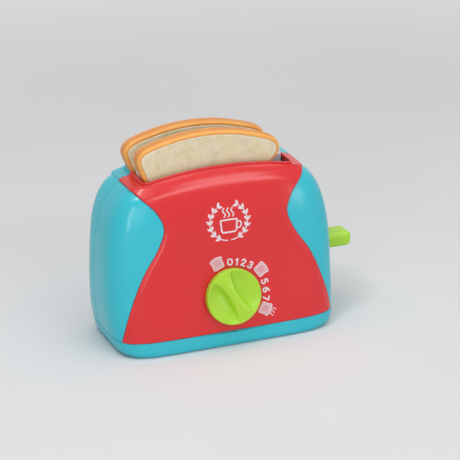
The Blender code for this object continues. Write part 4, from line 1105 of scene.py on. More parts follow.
    def boss(self, x: float, z: float, rear: bool) -> Surface:
        """A tube from the parting plane to the wall, its far end following the wall.

        Each ring has a radius and a depth, with none where it lies on the wall.
        """
        form = self.form
        outer = self.boss_radii[rear]
        if rear:
            start, seat = form.parting + form.gap, self.screw_seat
            sink = form.raised + form.wall / 3
            rings = [(self.bore, start), (self.bore, seat), (self.head_bore, seat)]
            rings += [(self.head_bore, None), (outer, None), (outer, start)]
        else:
            start = form.parting
            sink = self.front_sink
            rings = [(self.bore, start - self.pilot), (self.bore, start)]
            rings += [(outer, start), (outer, None)]
        angle = full_turn(32)
        rows = []
        for radius, y in rings:
            across = x + radius * np.cos(angle)
            up = z + radius * np.sin(angle)
            if y is None:
                depth = form.on_face(across, up, -sink, rear)[:, 1]
            else:
                depth = np.full(len(angle), y)
            rows.append(np.stack([across, depth, up], axis=-1))
        return tube(np.stack(rows), wrap=rear)

    def turned(
        self, profile: Profile, places: list[Pair], sides: int, wrap: bool = False
    ) -> list[Surface]:
        """A profile in mm carried round an upright axis at each place (x, y)."""
        shape = revolved(np.array(profile) * MM, sides, wrap)
        return [shape.placed(Matrix.Translation((*place, 0))) for place in places]

    def bosses(self, rear: bool) -> list[Surface]:
        """All the screw bosses of one shell."""
        made = [self.boss(x, z, rear) for x, z in self.screw_places(self.screw_heights)]
        places = self.screw_places((self.base_rows[rear],))
        return made + self.turned(self.base_boss_profile, places, 32)

    def front_shell(self) -> None:
        """The front half: land beside the panel, sunk under it."""
        form = self.form
        levels, horn_row = self.levels(self.shell_top, False)
        angles, _ = self.columns(levels, False, np.array(self.land_margins))
        inside = self.raised_distance(levels, angles, horn_row, False)
        sunk = inside > -self.land_edge
        land = form.raised + soft_edge(-inside - form.gap, self.land_edge)
        land += self.seam_drop(levels, angles, False)
        depth = np.where(sunk, self.panel_wall + form.gap, land)
        inner = np.full(angles.shape, form.raised + form.wall)
        shell = plate(*self.skins(levels, angles, -depth, -inner, False))
        mesh = cut(shell, [self.slot_cutter()], "front_shell_case")
        self.add_with("front_shell_case", mesh, self.bosses(False), "front_shell")

    def rear_shell(self) -> None:
        """The rear half, raised like the front but in one piece with its part of the lip."""
        form = self.form
        levels, horn_row = self.levels(self.lip_level, True)
        steps = np.linspace(1, -1, self.rear_edge_steps) * self.rear_edge / 2
        angles, _ = self.columns(levels, True, steps)
        inside = self.raised_distance(levels, angles, horn_row, True)
        rise = smooth_step(inside / self.rear_edge + 0.5)
        depth = form.raised * (1 - rise) + self.seam_drop(levels, angles, True)
        low = form.raised * (1 - rise) + form.wall
        outer, inner = self.skins(levels, angles, -depth, -low, True)
        lip_outer, lip_inner = self.lip(angles[-1], form.wall, True)
        shell = plate(np.concatenate([outer, lip_outer]), np.concatenate([inner, lip_inner]))
        shell.points[:, 1] = np.maximum(shell.points[:, 1], form.parting + form.gap)
        length = form.reaches[1] + self.over + form.parting - self.screw_seat
        hole = revolved(np.array(((self.access, 0), (self.access, length))), 40)
        back = Matrix.Rotation(-math.pi / 2, 4, "X")
        cutters = [self.slot_cutter()]
        for x, z in self.screw_places(self.screw_heights):
            cutters.append(hole.placed(Matrix.Translation((x, self.screw_seat, z)) @ back))
        mesh = cut(shell, cutters, "rear_shell_case")
        self.add_with("rear_shell_case", mesh, self.bosses(True), "rear_shell")

    def front_panel(self) -> None:
        """The raised hourglass panel with its horns and the front of the lip.

        Its bevel falls steeply from where it begins, then gently to the rounded edge; the drop is
        one ramp less another.
        """
        form = self.form
        levels, horn_row = self.levels(self.lip_level, False)
        heights = form.row(levels, False)[0]
        width = np.interp(heights, self.bevel_heights, self.bevel_widths)
        margins = -np.asarray(self.bevel_shares[::-1])[:, None] * width
        angles, edge = self.columns(levels, False, margins)
        inside = np.maximum(self.raised_distance(levels, angles, horn_row, False), 0)
        steep, run_in, gentle, start, length = self.bevel
        outwards = np.maximum(width[:, None] - inside, 0)
        easing = (steep - gentle) * length * ramp(np.maximum(outwards - start, 0) / length)
        bevel = steep * run_in * ramp(outwards / run_in) - easing
        depth = bevel + soft_edge(inside, self.edge_rounding)
        depth = np.maximum(depth, self.seam_drop(levels, angles, False))
        inner = np.full(angles.shape, self.panel_wall)
        outer, low = self.skins(levels, angles, -depth, -inner, False)
        lip_outer, lip_inner = self.lip(angles[-1], self.panel_wall, False)
        outer = np.concatenate([outer, lip_outer])
        low = np.concatenate([low, lip_inner])
        keep = np.ones((outer.shape[0] - 1, outer.shape[1] - 1), bool)
        keep[:horn_row, :edge] = False
        keep[:horn_row, outer.shape[1] - 1 - edge :] = False
        shape = plate(outer, low, keep)
        add_piece("front_panel_face", shape, RED, Body.CASE, ("front_panel",), self.sharp)

    def add_with(
        self, name: str, mesh: bpy.types.Mesh, parts: list[Surface], node: str
    ) -> None:
        """Adds a cut mesh with more surfaces joined to it, as one turquoise piece."""
        work = bmesh.new()
        work.from_mesh(mesh)
        extra = merged(parts).mesh(name + "_parts")
        work.from_mesh(extra)
        work.to_mesh(mesh)
        work.free()
        bpy.data.meshes.remove(extra)
        add_piece(name, mesh, TEAL, Body.CASE, (node,), self.sharp)

    def tray_ring(self, level: float, inset: float = 0.0, height: float | None = None) -> Array:
        """The tray's plan all round at a level of its rows, moved inwards by inset.

        Under the raised panels it steps outwards with them, square to the plan.
        """
        form = self.form
        table = table_at(self.tray_rows, level)[0]
        share, side, front, rear_share, square = np.maximum(table, 0)
        angle = np.linspace(0, math.pi, self.tray_columns)[:-1]
        ring = []
        for rear in (False, True):
            _, half_width, reach, _, squareness, panel = form.row(0.0, rear)
            half = half_width - form.raised - self.tray_roundings[0] * side - inset
            out_reach = reach - form.raised - inset
            if rear:
                out_reach -= self.tray_roundings[2] * rear_share
            else:
                out_reach += self.tray_proud - self.tray_roundings[1] * front
                squareness = square
            turn = angle if rear else math.pi - angle
            x, out = form.plan(turn, half, out_reach, squareness)
            across = np.sign(x) * np.abs(x / half) ** (squareness - 1) / half
            ahead = (out / out_reach) ** (squareness - 1) / out_reach
            under = smooth_step((panel - np.abs(x)) / self.tray_step + 0.5)
            step = form.raised * under / np.hypot(across, ahead)
            x, out = x + across * step, out + ahead * step
            up = np.full(len(x), self.tray_height * share if height is None else height)
            ring.append(np.stack([x, form.depth(out, rear), up], axis=-1))
        return np.concatenate(ring)

    def base_tray(self) -> None:
        """The tray with its screw cups, rod sockets, latch ears, locating rib and pawl socket.

        Its rings run up the outside, over the rounded rim and down the inside to the floor.
        """
        form = self.form
        top = len(self.tray_rows) - 1
        small = self.tray_rounding
        rings = [self.tray_ring(0.0, self.bottom_band)]
        rings += [self.tray_ring(level) for level in np.linspace(0, top - 0.1, 34)]
        for angle in np.linspace(0, math.pi / 2, 5):
            up = self.tray_height - small + small * math.sin(angle)
            rings.append(self.tray_ring(top, small * (1 - math.cos(angle)), up))
        rings.append(self.tray_ring(top, form.raised + form.wall))
        rings += [self.tray_ring(level, form.wall) for level in np.linspace(2, 1.2, 5)]
        rings.append(self.tray_ring(1.0, form.wall, self.tray_floor))
        places = self.screw_places(self.base_rows)
        holes = self.turned(self.hole_profile, places, 40)
        mesh = cut(tube(np.stack(rings)), holes, "base_tray_case")
        parts = self.turned(self.cup_profile, places, 40, True)
        parts += self.turned(self.socket_profile, self.socket_places, 32)
        for block in self.blocks:
            low, high = np.array(block) * MM
            parts.append(rounded_box(low, high, 0.3 * MM, 3))
        low, high = (np.array(corner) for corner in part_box("click_pawl"))
        bottom, top = self.pawl_heights
        for side in (-1, 1):
            gap = side * (high[0] + self.pawl_gap)
            x = sorted((gap, side * (high[0] + self.pawl_gap + self.pawl_wall)))
            near, far = low[1] - self.pawl_wall, high[1] + self.pawl_wall
            parts.append(rounded_box((x[0], near, bottom), (x[1], far, top), 0.2 * MM, 2))
        self.add_with("base_tray_case", mesh, parts, "base_tray")


# ---------------------------------------------------------------- bread


@dataclass
class BreadSlice:
    """One slice of play bread: a rounded crust round a pored crumb that stands a little proud."""

    name: str
    body: Body
    place: Triple
    lean: float
    half_width: float = 54.3 * MM
    height: float = 98.1 * MM
    half: float = 5.5 * MM
    border: float = 3.0 * MM
    proud: float = 0.3 * MM
    gap: float = 0.12 * MM
    around: int = 288
    crust_steps: int = 31
    crumb_rings: int = 60
    face_rounding: float = 0.6 * MM
    wave: float = 0.08 * MM
    wave_fade: float = 3.0 * MM
    # Width of the painted highlight along the crumb's rim
    rim_highlight_width: float = 1.3 * MM
    # How much fuller the left flank is, and the shares of the height between which it is
    fuller: float = 2.4 * MM
    flank: Triple = (0.60, 0.69, 0.78)
    # Right half of the outline from the bottom up, as shares of half width and height
    outline: tuple[Pair, ...] = (
        (0.00, 0.000),
        (0.40, 0.000),
        (0.68, 0.002),
        (0.80, 0.022),
        (0.857, 0.090),
        (0.857, 0.350),
        (0.857, 0.600),
        (0.862, 0.660),
        (0.897, 0.712),
        (0.975, 0.766),
        (1.000, 0.827),
        (0.945, 0.884),
        (0.810, 0.924),
        (0.550, 0.964),
        (0.300, 0.990),
        (0.000, 1.000),
    )
    # Section of the crust, as shares of its border and of half the thickness
    section: tuple[Pair, ...] = (
        (1.0, -1.0),
        (0.5, -0.97),
        (0.14, -0.66),
        (0.0, 0.0),
        (0.14, 0.66),
        (0.5, 0.97),
        (1.0, 1.0),
    )

    def build(self) -> None:
        """Builds and dresses crust and crumb."""
        self.crust()
        self.crumb()

    def loop(self, count: int) -> Array:
        """Evenly spread points on a smooth closed curve through the outline and its mirror."""
        right = np.asarray(self.outline) * (self.half_width, self.height)
        left = right[-2:0:-1] * (-1, 1)
        share = np.interp(left[:, 1] / self.height, self.flank, (0, 1, 0))
        left[:, 0] -= self.fuller * smooth_step(share)
        given = np.concatenate([right, left])
        closed = np.concatenate([given, given[:3]])
        curve = table_at(closed, np.arange(1, len(given) + 1, 1 / 16))
        curve = np.concatenate([curve, curve[:1]])
        lengths = path_lengths(curve)
        return path_at(curve, lengths, np.linspace(0, lengths[-1], count, endpoint=False))

    def inset(self, loop: Array, distance: float) -> Array:
        """The loop moved inwards, square to itself."""
        along = np.roll(loop, -1, axis=0) - np.roll(loop, 1, axis=0)
        along /= np.linalg.norm(along, axis=1, keepdims=True)
        return loop + np.stack([-along[:, 1], along[:, 0]], axis=1) * distance

    def matrix(self) -> Matrix:
        """Where the slice stands: turned by its lean about y, on the carriage."""
        return Matrix.Translation(self.place) @ Matrix.Rotation(self.lean, 4, "Y")

    def crust(self) -> None:
        """The rim: the section carried round the outline, browned most at mid thickness."""
        loop = self.loop(self.around)
        shares = table_at(self.section, np.linspace(0, len(self.section) - 1, self.crust_steps))
        rings = []
        for border, depth in np.clip(shares, (0, -1), (1, 1)):
            ring = self.inset(loop, self.border * border)
            y = np.full(len(ring), self.half * depth)
            rings.append(np.stack([ring[:, 0], y, ring[:, 1]], axis=-1))
        shape = tube(np.stack(rings), wrap=True).placed(self.matrix())
        made = add_piece(
            self.name + "_rim", shape, CRUST, self.body, (self.name + "_crust",), sharp=50.0
        )
        apart = np.abs((points_of(made) - self.place)[:, 1] / self.half)
        browned = smooth_step(1.25 - 1.15 * apart) + 0.5 * smooth_step((apart - 0.99) / 0.01)
        mark(made, "toast", np.minimum(browned, 1.0))

    @staticmethod
    def waves(ring: Array, side: int) -> Array:
        """Swells of a face: a slow product of sines and 0.6 of a quicker one."""
        x, up = ring.T
        slow = np.sin(x * 410 + side) * np.sin(up * 360 + 2 * side)
        return slow + 0.6 * np.sin(x * 930 + up * 260) * np.sin(up * 810 + side)

    def crumb(self) -> None:
        """Both faces: rings drawn in to the middle, with slow waves and a rounded edge."""
        edge = self.inset(self.loop(self.around), self.border + self.gap)
        middle = np.array([0.0, self.height * 0.52])
        share = 1 - np.linspace(0, 1, self.crumb_rings)[:-1] ** 2.0
        rings = []
        for side in (-1, 1):
            for step in share if side > 0 else share[::-1]:
                ring = middle + (edge - middle) * step
                near = np.linalg.norm(edge - ring, axis=1)
                depth = self.half + self.proud - soft_edge(near, self.face_rounding)
                depth += self.wave * self.waves(ring, side) * smooth_step(near / self.wave_fade)
                rings.append(np.stack([ring[:, 0], side * depth, ring[:, 1]], axis=-1))
        shape = tube(np.stack(rings)).placed(self.matrix())
        made = add_piece(
            self.name + "_face", shape, CRUMB, self.body, (self.name + "_crumb",), sharp=60.0
        )
        # Painted highlight: the rim attribute runs from 1 at the crumb's edge to 0 further in
        flat = ((points_of(made) - self.place) @ np.array(self.matrix().to_3x3()))[:, ::2]
        apart = [
            np.hypot(*(batch[:, None] - edge).transpose(2, 0, 1)).min(axis=1)
            for batch in np.array_split(flat, 40)
        ]
        mark(made, "rim", 1 - smooth_step(np.concatenate(apart) / self.rim_highlight_width))


# ---------------------------------------------------------------- controls


@dataclass
class Dial:
    """The turning knob: two finger scoops beside a flared grip bar."""

    form: CaseForm
    z: float = 38.4 * MM
    radius: float = 20.5 * MM
    height: float = 6.2 * MM
    floating: float = 0.5 * MM
    rounding: float = 0.9 * MM
    bar: float = 2.9 * MM
    flare: float = 3.4 * MM
    lean: float = math.radians(27.6)
    scoop: float = 5.0 * MM
    wall: float = 2.4 * MM
    rim: float = 1.0 * MM
    crown: float = 1.1 * MM
    around: int = 240
    # Radius and height of the bore that takes the shaft, and how far the side draws in below
    bore: Pair = mm(3.3, 2.5)
    draft: tuple[Pair, ...] = (mm(0.0, 2.0), mm(0.05, 0.8), mm(0.3, 0.5))

    def axis(self) -> Matrix:
        """The dial's frame on the leaning panel: x right, y up along it, z out of it."""
        rise = self.radius / 2
        heights = np.array([self.z - rise, self.z, self.z + rise])
        y = self.form.on_face(np.zeros(3), heights, 0.0)[:, 1]
        tilt = math.atan((y[2] - y[0]) / (2 * rise))
        turn = Matrix.Rotation(math.pi / 2 - tilt, 4, "X")
        return Matrix.Translation((0.0, y[1], self.z)) @ turn

    def relief(self, x: Array, y: Array) -> Array:
        """How far the top lies below its full height.

        A scoop falls off beside the bar over the wall's width and rises almost evenly to the rim;
        it fades as the fourth power of the way along the bar.

        Args:
            x: Places right of the middle.
            y: Places up from the middle.

        Returns:
            The depths.
        """
        beside = np.abs(x * math.cos(self.lean) + y * math.sin(self.lean))
        along = -x * math.sin(self.lean) + y * math.cos(self.lean)
        inside = self.radius - self.rim
        half = math.sqrt(inside**2 - (self.bar + self.flare) ** 2)
        way = np.clip(along / half, -1, 1)
        bar = self.bar + self.flare * way**2
        edge = np.sqrt(np.maximum(inside**2 - along**2, 1e-9))
        across = np.clip((beside - bar) / np.maximum(edge - bar, 1e-5), 0, 1)
        wall = smooth_step((beside - bar) / self.wall)
        depth = self.scoop * wall * (1 - across**1.3) * (1 - way**4)
        crown = self.crown * np.clip(1 - (beside / (bar + self.wall / 3)) ** 2, 0, 1) * (1 - way**4)
        return depth - crown

    def build(self) -> None:
        """Builds the knob from the pole of its top, over the rim and side, to its bore."""
        angle = full_turn(self.around)
        inner = self.radius - self.rounding
        rows = []
        for radius in np.linspace(0.0, 1.0, 66)[1:] ** 0.9 * inner:
            ring = circle(radius, self.height, angle)
            ring[:, 2] -= self.relief(ring[:, 0], ring[:, 1])
            rows.append(ring)
        for turn in np.linspace(0, math.pi / 2, 8)[1:]:
            up = self.height - self.rounding * (1 - math.cos(turn))
            rows.append(circle(inner + self.rounding * math.sin(turn), up, angle))
        rows += [circle(self.radius - inset, up, angle) for inset, up in self.draft]
        rows += [circle(self.bore[0], up, angle) for up in (self.floating, self.bore[1])]
        shape = tube(np.stack(rows)).placed(self.axis())
        add_piece("dial_grip", shape, LIME, Body.DIAL, ("dial_knob",))


@dataclass
class Lever:
    """The finger paddle on the carriage's arm."""

    low: Triple = mm(90.0, 2.5, 44.25)
    high: Triple = mm(111.5, 20.5, 55.75)
    rounding: float = 4.0 * MM
    arm_half: Pair = mm(2.8, 4.3)
    arm_end: float = 103.8 * MM
    arm_z: float = 50.0 * MM
    over: float = 4.0 * MM
    screw_x: float = 96.75 * MM
    # Radius and height in mm of the screw's hole, from the paddle's lower side
    hole: Profile = ((2.2, -4.0), (2.2, 1.2), (1.3, 1.2), (1.3, 5.75))

    def build(self) -> None:
        """Builds the rounded paddle with its socket for the arm and its screw hole."""
        shape = rounded_box(self.low, self.high, self.rounding, 10)
        parting = (self.low[1] + self.high[1]) / 2
        half, tall = self.arm_half
        start = (self.low[0] - self.over, parting - half, self.arm_z - tall)
        end = (self.arm_end, parting + half, self.arm_z + tall)
        socket = rounded_box(start, end, 0.1 * MM, 1)
        place = Matrix.Translation((self.screw_x, parting, self.low[2]))
        hole = revolved(np.array(self.hole) * MM, 32).placed(place)
        mesh = cut(cut(shape, [socket], "lever_socket"), [hole], "lever_grip")
        add_piece("lever_grip", mesh, LIME, Body.CARRIAGE, ("lever_paddle",), sharp=35.0)


# ---------------------------------------------------------------- print


class Numeral(Enum):
    """Numbers on the dial, each as strokes in a box a hundred high.

    A stroke says whether it is curved, and then across and up of each of its points.
    """

    ZERO = ((True, 0, 100, -30, 82, -37, 50, -30, 18, 0, 0, 30, 18, 37, 50, 30, 82, 0, 100),)
    ONE = ((False, -20, 78, 6, 100, 6, 0),)
    TWO = (
        (True, -30, 76, -20, 94, 2, 100, 24, 90, 28, 70, 12, 45, -10, 22, -30, 2),
        (False, -30, 0, 34, 0),
    )
    THREE = (
        (True, -28, 88, -6, 100, 20, 93, 26, 75, 12, 58, -8, 54),
        (True, -8, 54, 16, 50, 31, 30, 22, 7, -4, 0, -30, 12),
    )
    FIVE = (
        (False, 26, 100, -20, 100, -25, 56),
        (True, -25, 56, -2, 63, 24, 52, 31, 29, 18, 5, -8, 0, -30, 12),
    )
    SIX = (
        (
            *(True, 20, 100, -8, 84, -28, 55, -31, 30, -20, 6, 2, 0),
            *(26, 10, 32, 30, 20, 52, -4, 57, -26, 40),
        ),
    )
    SEVEN = ((False, -30, 100, 30, 100, -8, 0),)


@dataclass
class Print:
    """White print on the panel: the dial's numbers and toast marks, and a wreath with a mug."""

    form: CaseForm
    dial: Dial
    slice_form: BreadSlice
    thickness: float = 0.07 * MM
    stroke: float = 1.15 * MM
    digit_height: float = 4.5 * MM
    icon: float = 9.7 * MM
    # How much smaller each line of a mark is than its outline, and the line's width
    icon_lines: tuple[Pair, ...] = ((0.95, 0.75 * MM), (0.66, 0.4 * MM))
    steam_width: float = 0.6 * MM
    motif_place: Pair = mm(1.2, 92.6)
    # Numeral, radius in mm and clockwise degrees from the top
    numbers: tuple[tuple[Numeral, float, float], ...] = (
        (Numeral.ZERO, 24.5, 1.0),
        (Numeral.ONE, 24.5, 13.6),
        (Numeral.TWO, 24.9, 25.2),
        (Numeral.THREE, 25.4, 38.2),
        (Numeral.FIVE, 26.5, 76.0),
        (Numeral.SIX, 26.5, 90.0),
        (Numeral.SEVEN, 26.6, 103.2),
    )
    # Radius in mm and clockwise degrees; the last mark steams
    marks: tuple[Pair, ...] = ((26.3, -20.5), (28.4, 56.8), (28.9, 119.0))
    # In mm: the stems' half axes, a leaf's way along and out, widths of stem and leaf
    stem: Pair = (14.2, 13.6)
    leaf: Pair = (3.2, 2.5)
    widths: Pair = mm(0.8, 1.9)
    # In mm: the mug's body and handle, and where its steam rises
    mug: Profile = (
        *((-6.2, 1.6), (-5.6, -6.2), (-4.6, -7.6), (4.6, -7.6)),
        *((5.6, -6.2), (6.2, 1.6), (-6.2, 1.6)),
    )
    handle: Profile = ((6.0, -0.4), (8.6, -0.6), (9.4, -2.8), (8.2, -4.8), (5.8, -5.2))
    steam: Row = (-3.2, 0.0, 3.2)

    def on_panel(self, flat: Array, lift: Array) -> Array:
        """Points of the panel for flat places measured from the dial's axis, up along its lean."""
        slope = self.dial.axis()[2][1]
        return self.form.on_face(flat[..., 0], self.dial.z + flat[..., 1] * slope, lift)

    def ribbon(self, path: Array, width: float, swell: bool = False) -> Surface:
        """A flat stroke along a path.

        A low half-round section is carried along it; its width ends in half circles, or swells and
        fades like a leaf.

        Args:
            path: Flat points of the stroke.
            width: Full width.
            swell: Whether it is leaf shaped.

        Returns:
            The stroke, lying on the panel.
        """
        length = path_lengths(path)
        count = max(8, int(length[-1] / (0.35 * MM)))
        half = width / 2
        if swell:
            share = np.linspace(0.02, 0.98, max(count, 12))
            places = share * length[-1]
            widths = half * np.sin(math.pi * share) ** 0.75
        else:
            turn = np.linspace(-math.pi / 2, 0, 5)[1:]
            start, end = half * np.sin(turn), length[-1] - half * np.sin(turn[::-1])
            places = np.concatenate([start, np.linspace(0, length[-1], count)[1:-1], end])
            cap = half * np.cos(turn)
            widths = np.concatenate([cap, np.full(count - 2, half), cap[::-1]])
        known = np.concatenate([[-half], length, [length[-1] + half]])
        first = path[0] - (path[1] - path[0]) / max(length[1], 1e-9) * half
        last = path[-1] + (path[-1] - path[-2]) / max(length[-1] - length[-2], 1e-9) * half
        line = path_at(np.concatenate([[first], path, [last]]), known, places)
        along = np.gradient(line, axis=0)
        along /= np.linalg.norm(along, axis=1, keepdims=True)
        beside = np.stack([-along[:, 1], along[:, 0]], axis=1)
        turn = full_turn(8)
        across = widths[:, None] * np.cos(turn)
        flat = line[:, None, :] + beside[:, None, :] * across[:, :, None]
        top, low = np.sin(turn) > 0.1, np.sin(turn) < -0.1
        lift = np.select([top, low], [self.thickness, -self.thickness], self.thickness / 2)
        return tube(self.on_panel(flat, lift))

    @staticmethod
    def curve(points: Array, curved: bool) -> Array:
        """A dense path through points: a cubic through them, or straight runs between them."""
        points = np.asarray(points, float)
        share = np.linspace(0, len(points) - 1, 12 * len(points))
        if curved:
            return table_at(points, share)
        return path_at(points, np.arange(len(points)), share)

    def filled(self, outline: Array, lift: float) -> Surface:
        """A flat shape: its outline drawn in to its middle in rings, with a back just under it."""
        middle = outline.mean(axis=0)
        share = np.linspace(1, 0.05, 8)
        top = np.stack([middle + (outline - middle) * step for step in share[::-1]])
        both = np.concatenate([top, top[::-1]])
        return tube(self.on_panel(both, np.repeat([lift, -lift], len(share))[:, None]))

    @staticmethod
    def around_dial(radius: float, degrees: float) -> tuple[Array, Array]:
        """A place round the dial and the turn that points tops outwards."""
        angle = math.radians(degrees)
        sine, cosine = math.sin(angle), math.cos(angle)
        return radius * np.array([sine, cosine]), np.array([[cosine, -sine], [sine, cosine]])

    def build(self) -> None:
        """Builds the numbers and marks round the dial, and the wreath above."""
        strokes: list[Surface] = []
        fills: list[Surface] = []
        for numeral, radius, degrees in self.numbers:
            centre, turn = self.around_dial(radius * MM, degrees)
            for curved, *numbers in numeral.value:
                points = np.reshape(numbers, (-1, 2)) / 100
                flat = (self.curve(points, curved) - (0, 0.5)) * self.digit_height
                strokes.append(self.ribbon(centre + flat @ turn, self.stroke))
        form = self.slice_form
        outline = (form.loop(72) - (0, form.height / 2)) * self.icon / (2 * form.half_width)
        for radius, degrees in self.marks:
            centre, turn = self.around_dial(radius * MM, degrees)
            fills.append(self.filled(centre + outline @ turn, self.thickness * 0.7))
            for shrink, width in self.icon_lines:
                ring = np.concatenate([outline, outline[:2]]) * shrink
                strokes.append(self.ribbon(centre + ring @ turn, width))
        way = np.linspace(0, 1, 20)
        for side in (-1, 0, 1):
            x = side * 2.3 + 0.5 * np.sin(way * 8 + side)
            wave = np.stack([x, 3.2 + 4.6 * way], axis=1) * MM
            strokes.append(self.ribbon(centre + wave @ turn, self.steam_width))
        pieces = (("dial_print", strokes, INK), ("toast_print", fills, PALE_INK))
        for name, parts, finish in (*pieces, ("wreath_print", self.wreath(), INK)):
            add_piece(name, merged(parts), finish, Body.CASE, sharp=60.0)

    def wreath(self) -> list[Surface]:
        """Two leafy stems curving up round a mug with steam."""
        centre = np.array([self.motif_place[0], (self.motif_place[1] - self.dial.z)])
        wide, tall = self.stem
        onward, outward = self.leaf
        made = []
        for side in (-1, 1):
            angle = np.radians(np.linspace(-84, 52, 40))
            stem = np.stack([side * wide * np.cos(angle), tall * np.sin(angle)], axis=1) * MM
            made.append(self.ribbon(centre + stem, self.widths[0]))
            for step in np.radians(np.linspace(-62, 56, 7)):
                foot = np.array([side * wide * math.cos(step), tall * math.sin(step)]) * MM
                forward = np.array([-side * math.sin(step), math.cos(step)])
                for lean in (-1, 1):
                    out = side * np.array([math.cos(step), side * math.sin(step)]) * lean
                    tip = foot + (forward * onward + out * outward) * MM
                    middle = (foot + tip) / 2 + forward * 0.4 * MM
                    leaf = self.curve((foot, middle, tip), True)
                    made.append(self.ribbon(centre + leaf, self.widths[1], True))
        body = self.curve(np.array(self.mug) * MM, False)
        made.append(self.ribbon(centre + body, 1.15 * MM))
        handle = self.curve(np.array(self.handle) * MM, True)
        made.append(self.ribbon(centre + handle, 1.05 * MM))
        way = np.linspace(0, 1, 24)
        for x in self.steam:
            wave = np.stack([x + 0.9 * np.sin(way * 6.5), 3.9 + 6.2 * way], axis=1) * MM
            made.append(self.ribbon(centre + wave, 0.95 * MM))
        return made


# ---------------------------------------------------------------- fasteners and mechanism


@dataclass
class Screws:
    """Pan-head screws with a crossed recess and a fine thread."""

    head: float = 2.7 * MM
    head_height: float = 2.2 * MM
    shank: float = 1.5 * MM
    length: float = 16.0 * MM
    pitch: float = 1.1 * MM
    gap: float = 0.3 * MM
    around: int = 48
    # Half width and depth of the crossed recess, and the share of the head at which it ends
    recess: Pair = mm(0.42, 1.2)
    recess_end: float = 0.42
    thread_start: float = 0.6 * MM

    def surface(self) -> Surface:
        """One screw, its seat at the origin and its shank along +z.

        The head is a flat dome less a cross whose arms are narrow bands; the thread adds a wave of
        the angle and the height to the shank's radius.
        """
        angle = full_turn(self.around)
        half, deep = self.recess
        rows = []
        for share in np.linspace(0.06, 1, 16):
            ring = circle(self.head * share, 0.0, angle)
            dome = self.head_height * (1 - 0.55 * share**3)
            arm = np.min(np.abs(ring[:, :2]), axis=1) / half
            end = 1 - smooth_step((share - self.recess_end) / 0.14)
            ring[:, 2] = -(self.gap + dome - deep * (1 - smooth_step(arm - 0.4)) * end)
            rows.append(ring)
        rows += [circle(radius, -self.gap, angle) for radius in (self.head, self.shank)]
        for up in np.linspace(self.thread_start, self.length - self.shank, 60):
            wave = 0.5 + 0.5 * np.cos(angle - 2 * math.pi * up / self.pitch)
            rows.append(circle(self.shank * (0.86 + 0.14 * wave**2), up, angle))
        rows.append(circle(0.3 * self.shank, self.length, angle))
        return tube(np.stack(rows))

    def build(self, case: Case) -> None:
        """Four case screws from behind and four base screws from below."""
        shape = self.surface()
        inward = Matrix.Rotation(math.pi / 2, 4, "X")
        behind = [(x, case.screw_seat, z) for x, z in case.screw_places(case.screw_heights)]
        below = [(x, y, case.base_seat) for x, y in case.screw_places(case.base_rows)]
        groups = (("case", behind, inward, 0.5), ("base", below, Matrix.Identity(4), 0.7))
        for kind, places, aim, twist in groups:
            for number, place in enumerate(places, 1):
                turn = aim @ Matrix.Rotation(twist * number, 4, "Z")
                screw = shape.placed(Matrix.Translation(place) @ turn)
                node = f"{kind}_screw_{number}"
                add_piece(node + "_steel", screw, STEEL, Body.CASE, (node,))


@dataclass
class Mechanism:
    """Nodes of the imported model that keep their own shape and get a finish."""

    white: tuple[str, ...] = (
        "slot_divider",
        "bread_carriage",
        "click_pawl",
        "latch_hook",
        "dial_shaft",
        "dial_cam",
    )
    steel: tuple[str, ...] = (
        "guide_rod_left",
        "guide_rod_right",
        "lift_spring_left",
        "lift_spring_right",
        "latch_pin",
        "lever_screw",
        "dial_screw",
    )

    def dress(self, nodes: dict[str, bpy.types.Object]) -> None:
        """Gives each node its finish."""
        for finish, names in ((WHITE, self.white), (STEEL, self.steel)):
            for name in names:
                for place in nodes[name].material_slots:
                    place.material = finish.material()
                LOG.info("%s: kept, %s", name, finish.name)


# ---------------------------------------------------------------- studio


